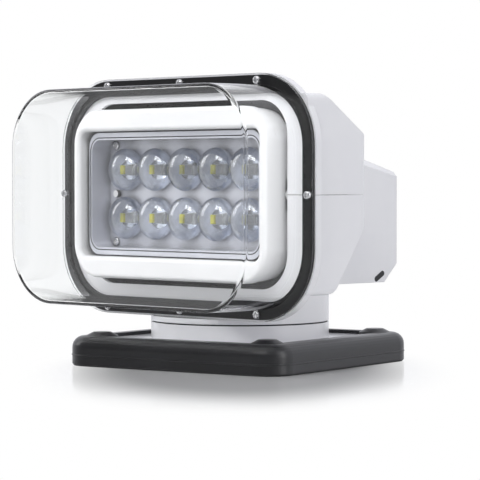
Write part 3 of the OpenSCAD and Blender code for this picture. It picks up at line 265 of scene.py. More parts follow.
class NodeKit:
    """Short calls for wiring a node tree. What an input gets is a constant, or a socket to link."""

    # Sockets of a mix node by its data type: first value, second value and result
    MIX_SOCKETS = {"FLOAT": (2, 3, 0), "RGBA": (6, 7, 2)}

    def __init__(self, tree: bpy.types.NodeTree) -> None:
        """Keeps the tree that nodes are added to."""
        self.tree = tree

    def feed(self, node: bpy.types.Node, inputs: dict[str | int, object]) -> None:
        """Sets or links inputs of a node.

        Args:
            node: The node.
            inputs: What each input gets, by the input's name or number.
        """
        for key, value in inputs.items():
            if isinstance(value, bpy.types.NodeSocket):
                self.tree.links.new(value, node.inputs[key])
            else:
                node.inputs[key].default_value = value

    def add(self, kind: str, inputs: dict[str | int, object] | None = None,
            **settings: object) -> bpy.types.Node:
        """Adds a node.

        Args:
            kind: Type of the node.
            inputs: What each input gets, by the input's name or number.
            settings: Properties of the node, set before its inputs.

        Returns:
            The node.
        """
        node = self.tree.nodes.new(kind)
        for key, value in settings.items():
            setattr(node, key, value)
        self.feed(node, inputs or {})
        return node

    def find(self, kind: str) -> bpy.types.Node:
        """The first node of a type that the tree has."""
        return next(n for n in self.tree.nodes if n.type == kind)

    def place(self, space: str = "Object") -> bpy.types.NodeSocket:
        """Coordinates of the shaded point."""
        return self.add("ShaderNodeTexCoord").outputs[space]

    def maths(self, operation: str, first: object, second: object) -> bpy.types.NodeSocket:
        """Result of an operation on two values."""
        return self.add("ShaderNodeMath", {0: first, 1: second}, operation=operation).outputs[0]

    def ramp(self, value: object, span: Pair, result: Pair = (0.0, 1.0)) -> bpy.types.NodeSocket:
        """Maps a value smoothly from one span to another.

        Args:
            value: The value.
            span: Where the change starts and ends.
            result: What comes out before and after it.

        Returns:
            The mapped value.
        """
        inputs = {"Value": value, "From Min": span[0], "From Max": span[1],
                  "To Min": result[0], "To Max": result[1]}
        return self.add("ShaderNodeMapRange", inputs, interpolation_type="SMOOTHSTEP").outputs["Result"]

    def mix(self, data_type: str, factor: object, first: object, second: object,
            blend_type: str = "MIX") -> bpy.types.NodeSocket:
        """Mixes two values or two colours.

        Args:
            data_type: FLOAT or RGBA.
            factor: Share of the second.
            first: What a factor of nought gives.
            second: What a factor of one brings in.
            blend_type: How colours are mixed.

        Returns:
            The mixture.
        """
        one, two, result = self.MIX_SOCKETS[data_type]
        inputs = {"Factor": factor, one: first, two: second}
        return self.add("ShaderNodeMix", inputs, data_type=data_type, blend_type=blend_type).outputs[result]

    def seen(self) -> bpy.types.NodeSocket:
        """One for rays from the camera, straight or through clear parts, and nought for all others."""
        path = self.add("ShaderNodeLightPath").outputs
        return self.maths("MAXIMUM", path["Is Camera Ray"], path["Is Transmission Ray"])

    def show_mix(self, factor: object, first: bpy.types.NodeSocket, second: bpy.types.NodeSocket) -> None:
        """Puts a mix of two shaders on the material's output."""
        mix = self.add("ShaderNodeMixShader", {"Fac": factor, 1: first, 2: second})
        self.feed(self.find("OUTPUT_MATERIAL"), {"Surface": mix.outputs["Shader"]})


class SharedEffects:
    """Shader node groups that several finishes share."""

    # Detail and roughness of the mottle's noise, and the part of its range where the colours change over
    MOTTLE_DETAIL = 4.0
    MOTTLE_ROUGHNESS = 0.6
    MOTTLE_SPAN = (0.35, 0.65)

    # Detail of the fine relief, and how brushed lines are drawn out along Z
    RELIEF_DETAIL = 2.0
    BRUSH_STRETCH = (1.0, 1.0, 0.04)

    def __init__(self) -> None:
        """Builds each group once."""
        self.mottle = self._mottle()
        self.relief = {grain: self._relief(grain) for grain in Grain}

    def _group(self, name: str, inputs: dict[str, str], outputs: dict[str, str]) -> NodeKit:
        """Makes an empty group with named sockets.

        Args:
            name: Name of the group.
            inputs: Socket type of each input.
            outputs: Socket type of each output.

        Returns:
            A kit for the group's tree.
        """
        tree = bpy.data.node_groups.new(name, "ShaderNodeTree")
        for way, sockets in (("INPUT", inputs), ("OUTPUT", outputs)):
            for label, kind in sockets.items():
                tree.interface.new_socket(label, in_out=way, socket_type=f"NodeSocket{kind}")
        return NodeKit(tree)

    def _mottle(self) -> bpy.types.NodeTree:
        """Slow cloudy change between two colours and two roughnesses.

        Returns:
            The group.
        """
        kit = self._group(
            "Mottle",
            {"Vector": "Vector", "Scale": "Float", "Main colour": "Color", "Second colour": "Color",
             "Main roughness": "Float", "Second roughness": "Float"},
            {"Colour": "Color", "Roughness": "Float"})
        enter = kit.add("NodeGroupInput").outputs
        noise = kit.add("ShaderNodeTexNoise", {
            "Vector": enter["Vector"], "Scale": enter["Scale"],
            "Detail": self.MOTTLE_DETAIL, "Roughness": self.MOTTLE_ROUGHNESS})
        share = kit.ramp(noise.outputs["Fac"], self.MOTTLE_SPAN)
        kit.add("NodeGroupOutput", {
            "Colour": kit.mix("RGBA", share, enter["Main colour"], enter["Second colour"]),
            "Roughness": kit.mix("FLOAT", share, enter["Main roughness"], enter["Second roughness"])})
        return kit.tree

    def _relief(self, grain: Grain) -> bpy.types.NodeTree:
        """Height of the fine relief: soft waves, pebbles or stretched lines.

        Args:
            grain: Which of them.

        Returns:
            The group.
        """
        kit = self._group(
            f"Relief {grain.value}", {"Vector": "Vector", "Scale": "Float"}, {"Height": "Float"})
        enter = kit.add("NodeGroupInput").outputs
        place = enter["Vector"]
        if grain is Grain.BRUSHED:
            stretch = kit.add("ShaderNodeMapping", {"Vector": place, "Scale": self.BRUSH_STRETCH})
            place = stretch.outputs["Vector"]
        inputs = {"Vector": place, "Scale": enter["Scale"]}
        if grain is Grain.PEBBLED:
            height = kit.add("ShaderNodeTexVoronoi", inputs, feature="SMOOTH_F1").outputs["Distance"]
        else:
            height = kit.add("ShaderNodeTexNoise", {**inputs, "Detail": self.RELIEF_DETAIL}).outputs["Fac"]
        kit.add("NodeGroupOutput", {"Height": height})
        return kit.tree


def new_material(name: str) -> tuple[bpy.types.Material, NodeKit, bpy.types.Node]:
    """Makes a node material.

    Args:
        name: Name of the material.

    Returns:
        The material, a kit for its tree and its main shader.
    """
    material = bpy.data.materials.new(name)
    material.use_nodes = True
    kit = NodeKit(material.node_tree)
    return material, kit, kit.find("BSDF_PRINCIPLED")


@dataclass(frozen=True)
class Finish(ABC):
    """A finish whose colour and roughness change slowly between two values."""

    name: str
    colour: Triple
    second: Triple
    rough: Pair
    mottle_scale: float = 25.0
    coat: float = 0.0

    def mottled(self, kit: NodeKit, effects: SharedEffects) -> bpy.types.Node:
        """Adds the shared mottle with this finish's values.

        Args:
            kit: The material's node kit.
            effects: The shared node groups.

        Returns:
            The node with the colour and the roughness.
        """
        return kit.add("ShaderNodeGroup", {
            "Vector": kit.place(), "Scale": self.mottle_scale,
            "Main colour": (*self.colour, 1), "Second colour": (*self.second, 1),
            "Main roughness": self.rough[0], "Second roughness": self.rough[1]}, node_tree=effects.mottle)

    @abstractmethod
    def make(self, effects: SharedEffects) -> bpy.types.Material:
        """Builds the material."""


@dataclass(frozen=True)
class SolidFinish(Finish):
    """An opaque finish with mottled colour, changing roughness and fine relief.

    Where it has them, painted shade darkens its colour inside the painted-shade planes, or in gaps narrower
    than shade_mm.
    """

    metallic: float = 0.0
    grain: Grain = Grain.MOULDED
    grain_scale: float = 400.0
    grain_depth_mm: float = 0.02
    grain_strength: float = 0.2
    coat_rough: float = 0.08
    edge_mm: float = 0.0
    # Painted shade: gap depth, darkest share and occlusion span for narrow gaps, then the planes inside
    # which the colour darkens and the depth span in millimetres
    shade_mm: float = 0.0
    shade_floor: float = 0.04
    shade_range: Pair = (0.3, 0.72)
    painted_shade_planes: tuple[Plane, ...] = ()
    painted_shade_span_mm: Pair = (-2.15, -1.9)

    def make(self, effects: SharedEffects) -> bpy.types.Material:
        """Builds the material.

        Args:
            effects: The shared node groups.

        Returns:
            The finished material.
        """
        material, kit, shader = new_material(self.name)
        mottle = self.mottled(kit, effects).outputs
        relief = kit.add("ShaderNodeGroup", {"Vector": kit.place(), "Scale": self.grain_scale},
                         node_tree=effects.relief[self.grain])
        bump = kit.add("ShaderNodeBump", {
            "Height": relief.outputs["Height"], "Strength": self.grain_strength,
            "Distance": self.grain_depth_mm * MM})
        if self.edge_mm > 0:
            soft = kit.add("ShaderNodeBevel", {"Radius": self.edge_mm * MM}, samples=EDGE_SAMPLES)
            kit.feed(bump, {"Normal": soft.outputs["Normal"]})
        kit.feed(shader, {
            "Base Color": self.shaded(kit, mottle["Colour"]), "Roughness": mottle["Roughness"],
            "Normal": bump.outputs["Normal"], "Metallic": self.metallic,
            "Coat Weight": self.coat, "Coat Roughness": self.coat_rough})
        return material

    def outside(self, kit: NodeKit) -> bpy.types.NodeSocket:
        """Distance of a point outside the painted-shade planes: the largest n . p - d of them.

        Args:
            kit: The material's node kit.

        Returns:
            The distance in metres, below nought inside.
        """
        place, gaps = kit.place(), []
        for *normal, reach_mm in self.painted_shade_planes:
            dot = kit.add("ShaderNodeVectorMath", {0: place, 1: normal}, operation="DOT_PRODUCT")
            gaps.append(kit.maths("SUBTRACT", dot.outputs["Value"], reach_mm * MM))
        return reduce(lambda one, two: kit.maths("MAXIMUM", one, two), gaps)

    def shaded(self, kit: NodeKit, colour: bpy.types.NodeSocket) -> bpy.types.NodeSocket:
        """Paints shade into a colour: darker inside the painted-shade planes, else in gaps narrower than
        shade_mm.

        Args:
            kit: The material's node kit.
            colour: The colour to darken.

        Returns:
            The colour with its painted shade, or the colour itself where the finish has none.
        """
        # Painted shade: the colour is multiplied down towards shade_floor deep inside the planes, or where
        # ambient occlusion finds a narrow gap
        if self.painted_shade_planes:
            depth, span = self.outside(kit), (self.painted_shade_span_mm[0] * MM, self.painted_shade_span_mm[1] * MM)
        elif self.shade_mm > 0:
            near = kit.add("ShaderNodeAmbientOcclusion", {"Distance": self.shade_mm * MM},
                           samples=SHADE_SAMPLES)
            depth, span = near.outputs["AO"], self.shade_range
        else:
            return colour
        return kit.mix("RGBA", 1.0, colour, kit.ramp(depth, span, (self.shade_floor, 1.0)), "MULTIPLY")


@dataclass(frozen=True)
class ClearFinish(Finish):
    """Clear moulded plastic that lets lamp light through to what stands behind it."""

    ior: float = 1.49
    shadow: float = 0.9
    coat_ior: float = 1.5
    coat_rough: float = 0.02

    def make(self, effects: SharedEffects) -> bpy.types.Material:
        """Builds the material: refraction for sight, a plain tint for shadow rays.

        Args:
            effects: The shared node groups.

        Returns:
            The finished material.
        """
        material, kit, shader = new_material(self.name)
        mottle = self.mottled(kit, effects).outputs
        kit.feed(shader, {
            "Base Color": mottle["Colour"], "Roughness": mottle["Roughness"], "IOR": self.ior,
            "Transmission Weight": 1.0, "Coat Weight": self.coat, "Coat IOR": self.coat_ior,
            "Coat Roughness": self.coat_rough})
        path = kit.add("ShaderNodeLightPath")
        through = kit.add("ShaderNodeBsdfTransparent", {"Color": (self.shadow, self.shadow, self.shadow, 1)})
        kit.show_mix(path.outputs["Is Shadow Ray"], shader.outputs["BSDF"], through.outputs["BSDF"])
        return material


def sloped(first: Pair, second: Pair) -> Plane:
    """Plane through two (y, z) points of the head's side view, in millimetres.

    Args:
        first: Where the slope starts.
        second: Where it ends, with the outside on the right of the way there.

    Returns:
        The outward normal and the distance from the origin.
    """
    along, up = second[0] - first[0], second[1] - first[1]
    length = math.hypot(along, up)
    y, z = up / length, -along / length
    return 0.0, y, z, y * first[0] + z * first[1]


# Outer planes of the head's body: normal and distance from the origin in millimetres; inside them the white
# shell gets painted shade
HEAD_PLANES: tuple[Plane, ...] = (
    (1.0, 0.0, 0.0, 94.0),
    (-1.0, 0.0, 0.0, 94.0),
    (0.0, -1.0, 0.0, 42.7),
    (0.0, 1.0, 0.0, 3.0),
    (0.0, 0.0, 1.0, 149.0),
    (0.0, 0.0, -1.0, -42.4),
    sloped((3.0, 126.4), (-30.0, 149.0)),
    sloped((-22.8, 42.4), (3.0, 79.6)),
)

# Finish of each material slot: name, main and second colour, main and second roughness, then the rest
FINISHES: dict[str, Finish] = {
    # The white shell has painted shade: its colour goes black inside the head's outer planes, so the slots
    # round the lamp look dark
    "shell_white": SolidFinish(
        "Gloss white shell", (0.86, 0.86, 0.88), (0.84, 0.84, 0.865), (0.2, 0.27), coat=0.25,
        grain_scale=260.0, grain_depth_mm=0.01, grain_strength=0.12, edge_mm=0.5,
        shade_floor=0.0, painted_shade_planes=HEAD_PLANES),
    # The lamp's white has painted shade: its colour darkens in gaps narrower than 12 mm, so the gaps round
    # the panel look dark
    "lamp_white": SolidFinish(
        "Satin white lamp", (0.86, 0.86, 0.87), (0.84, 0.84, 0.85), (0.3, 0.38),
        grain_scale=500.0, grain_depth_mm=0.01, grain_strength=0.15, edge_mm=0.5,
        shade_mm=12.0, shade_range=(0.22, 0.58)),
    "boot_rubber": SolidFinish(
        "Grained boot rubber", (0.013, 0.013, 0.014), (0.017, 0.017, 0.019), (0.3, 0.34),
        grain=Grain.PEBBLED, grain_scale=1500.0, grain_depth_mm=0.04, grain_strength=0.1, edge_mm=0.6),
    "seal_rubber": SolidFinish(
        "Seal rubber", (0.012, 0.012, 0.013), (0.018, 0.018, 0.019), (0.5, 0.6), grain_scale=900.0),
    "gland_black": SolidFinish("Black gland", (0.02, 0.02, 0.021), (0.026, 0.026, 0.028), (0.35, 0.45)),
    "dome_clear": ClearFinish(
        "Clear dome", (0.985, 0.992, 0.995), (0.985, 0.992, 0.995), (0.0, 0.03), mottle_scale=30.0,
        ior=1.19, coat=1.0, coat_ior=1.4),
    # Painted reflection and shade: the lens's mottle from dark blue-grey to pale stands in for the dark and
    # bright streaks its optics show; the lens itself is evenly clear
    "lens_clear": ClearFinish(
        "Clear lens", (0.16, 0.19, 0.26), (0.74, 0.8, 0.92), (0.0, 0.03), mottle_scale=48.0,
        ior=1.49, coat=1.0, coat_ior=1.8),
    "emitter_yellow": SolidFinish(
        "Emitter phosphor", (0.95, 0.82, 0.02), (0.95, 0.88, 0.06), (0.4, 0.5), mottle_scale=900.0),
    # The silver panel has painted shade: its colour darkens in gaps narrower than 9 mm, round the lens feet
    # and the tray
    "panel_silver": SolidFinish(
        "Silver panel", (0.66, 0.67, 0.73), (0.6, 0.61, 0.67), (0.28, 0.36), metallic=0.35,
        grain_scale=1200.0, grain_depth_mm=0.01, shade_mm=9.0, shade_floor=0.15, shade_range=(0.1, 0.7)),
    "screw_steel": SolidFinish(
        "Polished screw steel", (0.66, 0.66, 0.67), (0.58, 0.58, 0.59), (0.18, 0.28), metallic=1.0,
        mottle_scale=300.0, grain=Grain.BRUSHED, grain_scale=4000.0),
    "plain_steel": SolidFinish(
        "Turned steel", (0.5, 0.5, 0.51), (0.42, 0.42, 0.43), (0.3, 0.42), metallic=1.0,
        grain=Grain.BRUSHED, grain_scale=2500.0),
    "magnet_grey": SolidFinish(
        "Ferrite magnet", (0.06, 0.06, 0.065), (0.09, 0.09, 0.095), (0.5, 0.65),
        grain_scale=1500.0, grain_strength=0.4),
    "acetal": SolidFinish("Moulded acetal", (0.78, 0.76, 0.7), (0.74, 0.72, 0.66), (0.35, 0.45)),
    "pinion_brass": SolidFinish(
        "Cut brass", (0.72, 0.52, 0.2), (0.6, 0.42, 0.15), (0.25, 0.38), metallic=1.0,
        grain=Grain.BRUSHED, grain_scale=2500.0),
    "motor_can": SolidFinish(
        "Drawn motor can", (0.55, 0.55, 0.56), (0.47, 0.47, 0.48), (0.25, 0.35), metallic=1.0,
        grain=Grain.BRUSHED, grain_scale=2500.0),
    "gearbox_black": SolidFinish(
        "Gearbox moulding", (0.035, 0.035, 0.038), (0.05, 0.05, 0.053), (0.45, 0.55)),
    # The aluminium has painted shade: its colour darkens in gaps narrower than 14 mm, where it shows through
    # the gap round the lamp
    "sink_aluminium": SolidFinish(
        "Extruded aluminium", (0.56, 0.57, 0.58), (0.5, 0.51, 0.52), (0.32, 0.42), metallic=1.0,
        grain=Grain.BRUSHED, grain_scale=1800.0, shade_mm=14.0),
    "board_green": SolidFinish("Solder mask", (0.02, 0.12, 0.05), (0.03, 0.15, 0.065), (0.3, 0.4)),
}


class Wardrobe:
    """Makes each finish once and puts it on pieces."""

    def __init__(self) -> None:
        """Starts with no material made."""
        self.effects = SharedEffects()
        self.made: dict[str, bpy.types.Material] = {}

    def material(self, slot: str) -> bpy.types.Material:
        """Finds the material of a slot, made at its first use.

        Args:
            slot: The record's material slot.

        Returns:
            The material.
        """
        if slot not in self.made:
            self.made[slot] = FINISHES[slot].make(self.effects)
        return self.made[slot]

    def dress(self, piece: bpy.types.Object, slot: str) -> None:
        """Puts a slot's material on an object in place of what it has."""
        piece.data.materials.clear()
        piece.data.materials.append(self.material(slot))


# Sub-assemblies


@dataclass
class Assembly(ABC):
    """A sub-assembly that makes its pieces and dresses them."""

    pieces: list[tuple[bpy.types.Object, str]] = field(default_factory=list, init=False)

    @abstractmethod
    def build(self) -> None:
        """Makes the pieces."""

    def add(self, name: str, grids: list[np.ndarray], body: Body, slot: str,
            sharp_deg: float = 40.0) -> bpy.types.Object:
        """Makes a piece and notes its slot for dressing.

        Args:
            name: Name of the piece.
            grids: Points of shape (rows, columns, 3) each, in millimetres.
            body: The body that the piece rides on.
            slot: The record's material slot of the piece.
            sharp_deg: Edges that turn by more than this stay sharp.

        Returns:
            The piece.
        """
        piece = make_piece(name, grids, body, sharp_deg)
        self.pieces.append((piece, slot))
        return piece

    def dress(self, wardrobe: Wardrobe) -> None:
        """Puts the finish of its slot on each piece."""
        for piece, slot in self.pieces:
            wardrobe.dress(piece, slot)


@dataclass(frozen=True)
class ScrewHead:
    """A pan-head screw with a cross recess, standing on a face that looks along -Y.

    Shares without a unit are of the head's radius or height, and turns are in radians.
    """

    head_r_mm: float = 2.2
    head_h_mm: float = 1.9
    shank_r_mm: float = 1.25
    shank_mm: float = 7.6
    recess_mm: float = 1.0
    recess_reach: float = 0.6
    recess_blur: float = 0.035
    arm_mm: float = 0.42
    arm_blur_mm: float = 0.06
    rim_share: float = 0.42
    crown_power: float = 2.4
    ring_power: float = 0.8
    first_turn: float = 0.4
    next_turn: float = 0.9
    sharp_deg: float = 35.0
    rings: int = 16
    steps: int = 48

    def shape(self, turn: float) -> np.ndarray:
        """Height over a disc: a low crown less a cross whose arms fade out towards the rim.

        Args:
            turn: Angle of the cross in radians.

        Returns:
            Points of shape (steps, rings + 4, 3), seat at z = 0, shank below it.
        """
        r = np.linspace(0, 1, self.rings) ** self.ring_power
        a = np.linspace(0, 2 * math.pi, self.steps, endpoint=False)
        rr, aa = np.meshgrid(r, a, indexing="xy")
        crown = self.rim_share + (1 - self.rim_share) * np.sqrt(np.clip(1 - rr ** self.crown_power, 0, 1))
        u = np.abs(rr * np.cos(aa - turn)) * self.head_r_mm
        v = np.abs(rr * np.sin(aa - turn)) * self.head_r_mm
        arms = below(np.minimum(u, v), self.arm_mm, self.arm_blur_mm)
        cross = arms * below(rr, self.recess_reach, self.recess_blur)
        height = self.head_h_mm * crown - self.recess_mm * cross
        top = np.stack([rr * self.head_r_mm * np.cos(aa), rr * self.head_r_mm * np.sin(aa), height], -1)
        foot = turned(np.array([[self.head_r_mm, 0.0], [self.shank_r_mm, 0.0],
                                [self.shank_r_mm, -self.shank_mm], [0.0, -self.shank_mm]]), self.steps)
        return np.concatenate([top, foot], axis=1)

    def grids(self, places_mm: list[Triple]) -> list[np.ndarray]:
        """Stands a screw at each place, its cross turned further than the last one's."""
        return [forwards(self.shape(self.first_turn + self.next_turn * k), place)
                for k, place in enumerate(places_mm)]


@dataclass
class DomeAssembly(Assembly):
    """Clear dome with its flange, and the screws that hold it."""

    flange_half_mm: Pair = (100.0, 66.3)
    flange_corner_mm: float = 39.0
    flange_mm: float = 1.6
    flange_bevel_mm: float = 0.3
    flange_edge_r_mm: float = 0.5
    wall_half_mm: Pair = (95.0, 60.0)
    wall_corner_mm: float = 32.7
    wall_mm: float = 1.8
    centre_z_mm: float = 94.0
    back_mm: float = 44.7
    depth_mm: float = 44.5
    edge_r_mm: float = 2.3
    draft_mm: float = 0.2
    fillet_mm: float = 0.2
    sharp_deg: float = 30.0
    tilt_z_mm: float = 95.5
    screw_x_mm: float = 60.0
    screw_reach_mm: float = 2.45
    screw: ScrewHead = ScrewHead()

    def flange_profile(self) -> np.ndarray:
        """Flange edge, from the gasket's side to its rounded front rim.

        Returns:
            Rows of outward distance and distance in front of the flange's back.
        """
        p, bevel, r = self.flange_corner_mm, self.flange_bevel_mm, self.flange_edge_r_mm
        start = np.array([[p - bevel, 0.0], [p, bevel]])
        return np.concatenate([start, arc_points((p - r, self.flange_mm - r), r, 0, 90, 5)])

    def front_edge(self, radius_mm: float, count: int) -> np.ndarray:
        """Arc of the rounded front edge, of the outer or the inner face."""
        centre = (self.wall_corner_mm - self.draft_mm - self.edge_r_mm, self.depth_mm - self.edge_r_mm)
        return arc_points(centre, radius_mm, 0, 90, count)

    def wall_profile(self) -> np.ndarray:
        """Root fillet, drafted outer wall, rounded front edge and flat front.

        Returns:
            Rows of outward distance and distance in front of the flange's back.
        """
        centre = (self.wall_corner_mm + self.fillet_mm, self.flange_mm + self.fillet_mm)
        root = arc_points(centre, self.fillet_mm, 270, 180, 6)
        return np.concatenate([root, self.front_edge(self.edge_r_mm, 16), [[0.0, self.depth_mm]]])

    def inner_profile(self) -> np.ndarray:
        """Inner wall and inner front edge, from the open back to the flat front.

        Returns:
            Rows of outward distance and distance in front of the flange's back.
        """
        start = [[self.wall_corner_mm - self.wall_mm, 0.0]]
        edge = self.front_edge(self.edge_r_mm - self.wall_mm, 14)
        return np.concatenate([start, edge, [[0.0, self.depth_mm - self.wall_mm]]])

    def shell(self) -> list[np.ndarray]:
        """The dome as one closed shell.

        Returns:
            Grids of its outside, its inside and the flat front of each.
        """
        rim = RoundedFrame(*self.flange_half_mm, self.flange_corner_mm, self.centre_z_mm)
        wall = RoundedFrame(*self.wall_half_mm, self.wall_corner_mm, self.centre_z_mm)
        lift = np.array([0.0, self.back_mm])
        inside = wall.carry(self.inner_profile() + lift)
        outside = np.concatenate([inside[:, :1], rim.carry(self.flange_profile() + lift),
                                  wall.carry(self.wall_profile() + lift)], axis=1)
        lids = [wall.lid(self.back_mm + d) for d in (self.depth_mm, self.depth_mm - self.wall_mm)]
        return [outside, inside, *lids]

    def screw_places(self) -> list[Triple]:
        """Seats of the screws: three above, three below and one at each side.

        Returns:
            Their places in millimetres.
        """
        face = -(self.back_mm + self.flange_mm)
        side, rise = (half + self.screw_reach_mm for half in self.wall_half_mm)
        rows = [(x, face, self.centre_z_mm + s * rise)
                for x in (-self.screw_x_mm, 0.0, self.screw_x_mm) for s in (-1, 1)]
        return rows + [(s * side, face, self.tilt_z_mm) for s in (-1, 1)]

    def build(self) -> None:
        """Makes the dome and its screws."""
        dome = self.add("dome_shell", self.shell(), Body.HEAD, "dome_clear", self.sharp_deg)
        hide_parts("dome")
        heads = self.screw.grids(self.screw_places())
        screws = self.add("dome_screw_heads", heads, Body.HEAD, "screw_steel", self.screw.sharp_deg)
        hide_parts("dome_screws")


@dataclass
class LampAssembly(Assembly):
    """Flattened ball lenses, emitters, tray rim and panel screws of the tilting lamp.

    The rims are given as half width, half height and corner radius.
    """

    panel_mm: float = 38.0
    tilt_z_mm: float = 95.5
    lens_r_mm: float = 12.1
    lens_foot_mm: float = 4.1
    lens_rise_mm: float = 7.6
    lens_sink_mm: float = 0.4
    lens_taper: float = 0.9
    lens_rows: int = 26
    lens_steps: int = 56
    pitch_mm: float = 24.6
    row_pitch_mm: float = 27.2
    columns: int = 5
    chip_mm: Pair = (2.2, 4.2)
    chip_foot_mm: float = -1.5
    chip_rise_mm: float = 3.6
    chip_bevel_mm: float = 0.2
    chip_crown: float = 0.92
    cap_rise_mm: float = 5.0
    cap_gap_mm: float = 0.02
    rim_inner_mm: Triple = (67.4, 31.3, 7.1)
    rim_outer_mm: Triple = (69.0, 34.4, 8.0)
    rim_front_mm: float = 52.0
    rim_t_mm: float = 0.8
    sharp_deg: float = 30.0
    screw_x_mm: float = 61.3
    screw_z_mm: float = 27.3
    screw: ScrewHead = ScrewHead(head_r_mm=2.4, head_h_mm=1.5, shank_r_mm=1.2, shank_mm=5.0,
                                 recess_mm=1.1, arm_mm=0.48)

    def on_grid(self, shape: np.ndarray) -> list[np.ndarray]:
        """Repeats a shape that stands on the panel at each place of the lens grid.

        Args:
            shape: Points of shape (rows, columns, 3) in millimetres, standing on Z.

        Returns:
            One grid per lens.
        """
        middle = (self.columns - 1) / 2
        places = [((i - middle) * self.pitch_mm, -self.panel_mm, self.tilt_z_mm + s * self.row_pitch_mm / 2)
                  for i in range(self.columns) for s in (-1, 1)]
        return [forwards(shape, place) for place in places]

    def ball(self) -> np.ndarray:
        """A tapered foot under a flattened ball: radius r cos t and height foot + rise sin t.

        Returns:
            Points of shape (lens_steps, lens_rows + 2, 3).
        """
        t = np.linspace(0, math.pi / 2, self.lens_rows)
        dome = np.stack([self.lens_r_mm * np.cos(t), self.lens_foot_mm + self.lens_rise_mm * np.sin(t)], -1)
        dome[-1, 0] = 0.0
        foot = np.array([[0.0, -self.lens_sink_mm], [self.lens_taper * self.lens_r_mm, -self.lens_sink_mm]])
        return turned(np.concatenate([foot, dome]), self.lens_steps)

    def block(self, low_mm: float, top_mm: float) -> np.ndarray:
        """A block on the emitter's seat: an outline carried from its foot over its crown to its middle.

        Args:
            low_mm: Height of its foot above the panel.
            top_mm: Height of its crown above the panel.

        Returns:
            Points of shape (4, 5, 3).
        """
        outline = np.array([[1, 1], [-1, 1], [-1, -1], [1, -1]]) * np.array(self.chip_mm) / 2
        steps = np.array([[0.0, low_mm], [1.0, low_mm], [1.0, top_mm - self.chip_bevel_mm],
                          [self.chip_crown, top_mm], [0.0, top_mm]])
        flat = outline[:, None, :] * steps[None, :, :1]
        height = np.broadcast_to(steps[None, :, 1:], (*flat.shape[:2], 1))
        return np.concatenate([flat, height], -1)

    def rim(self) -> np.ndarray:
        """The tray's rim: four edges carried round two frames, closed on themselves.

        Returns:
            Points of shape (stations, 5, 3).
        """
        inner = RoundedFrame(*self.rim_inner_mm, self.tilt_z_mm)
        outer = RoundedFrame(*self.rim_outer_mm, self.tilt_z_mm)
        front, back = self.rim_front_mm, self.rim_front_mm - self.rim_t_mm
        inside = inner.carry(np.array([[inner.corner_mm, back], [inner.corner_mm, front]]))
        outside = outer.carry(np.array([[outer.corner_mm, front], [outer.corner_mm, back]]))
        return np.concatenate([inside, outside, inside[:, :1]], axis=1)

    def build(self) -> None:
        """Makes the lenses, the emitters, the tray's rim and the panel screws."""
        balls = self.on_grid(self.ball())
        lenses = self.add("ball_lenses", balls, Body.LAMP, "lens_clear", self.sharp_deg)
        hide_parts("lenses")
        caps = self.on_grid(self.block(self.chip_rise_mm, self.cap_rise_mm))
        self.add("emitter_caps", caps, Body.LAMP, "emitter_yellow", self.sharp_deg)
        blocks = self.on_grid(self.block(self.chip_foot_mm, self.chip_rise_mm - self.cap_gap_mm))
        stems = self.add("emitter_stems", blocks, Body.LAMP, "acetal", self.sharp_deg)
        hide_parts("led_emitters")
        self.add("tray_rim", [self.rim()], Body.LAMP, "panel_silver")
        seats = [(sx * self.screw_x_mm, -self.panel_mm, self.tilt_z_mm + sz * self.screw_z_mm)
                 for sx in (-1, 1) for sz in (-1, 1)]
        heads = self.screw.grids(seats)
        screws = self.add("panel_screw_heads", heads, Body.LAMP, "screw_steel", self.screw.sharp_deg)
        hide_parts("panel_screws")


@dataclass
class BaseAssembly(Assembly):
    """Mould line round the rubber boot of the turned base."""

    half_mm: float = 72.0
    corner_mm: float = 16.0
    turn_deg: float = 11.2
    line_z_mm: float = 6.0
    line_r_mm: float = 0.45
    line_sink_mm: float = 0.1
    line_points: int = 11

    def turned_flat(self, points: np.ndarray) -> np.ndarray:
        """Lays a shape from the X-Z plane flat and turns it with the base: (x, y, z) to turned (x, z), -y.

        Args:
            points: Points of any shape ending in 3.

        Returns:
            The moved points.
        """
        c, s = math.cos(math.radians(self.turn_deg)), math.sin(math.radians(self.turn_deg))
        x, y = points[..., 0], points[..., 2]
        return np.stack([x * c - y * s, x * s + y * c, -points[..., 1]], -1)

    def build(self) -> None:
        """Makes the mould line: a small round bead sunk into the boot's side."""
        path = RoundedFrame(self.half_mm, self.half_mm, self.corner_mm)
        centre = (self.corner_mm - self.line_sink_mm, self.line_z_mm)
        bead = arc_points(centre, self.line_r_mm, 0, 360, self.line_points)
        self.add("boot_mould_line", [self.turned_flat(path.carry(bead))], Body.BASE, "boot_rubber")


# Studio


@dataclass(frozen=True)
class Softbox:
    """A rectangular soft lamp that looks at the head: place and size in metres, power in watts."""

    name: str
    place: Triple
    size: Pair
    power: float
    aim: Triple = (0.0, 0.0, 0.09)

    def hang(self) -> None:
        """Adds the lamp to the scene."""
        data = bpy.data.lights.new(self.name, "AREA")
        data.shape = "RECTANGLE"
        data.size, data.size_y = self.size
        data.energy = self.power
        lamp = bpy.data.objects.new(self.name, data)
        lamp.location = self.place
        lamp.rotation_mode = "QUATERNION"
        lamp.rotation_quaternion = (Vector(self.aim) - Vector(self.place)).to_track_quat("-Z", "Y")
        bpy.context.scene.collection.objects.link(lamp)


SOFTBOXES = (
    Softbox("key_softbox_wide", (0.36, -0.86, 0.98), (0.46, 0.44), 3.5),
    Softbox("key_softbox_narrow", (-0.06, -0.92, 0.98), (0.24, 0.44), 1.9),
    Softbox("top_softbox", (0.0, 0.3, 1.3), (0.9, 0.9), 2.8),
    Softbox("side_strip", (1.3, 0.35, 0.5), (0.5, 0.9), 4.0),
    Softbox("left_strip", (-1.2, -0.55, 0.65), (0.4, 0.9), 3.0),
)


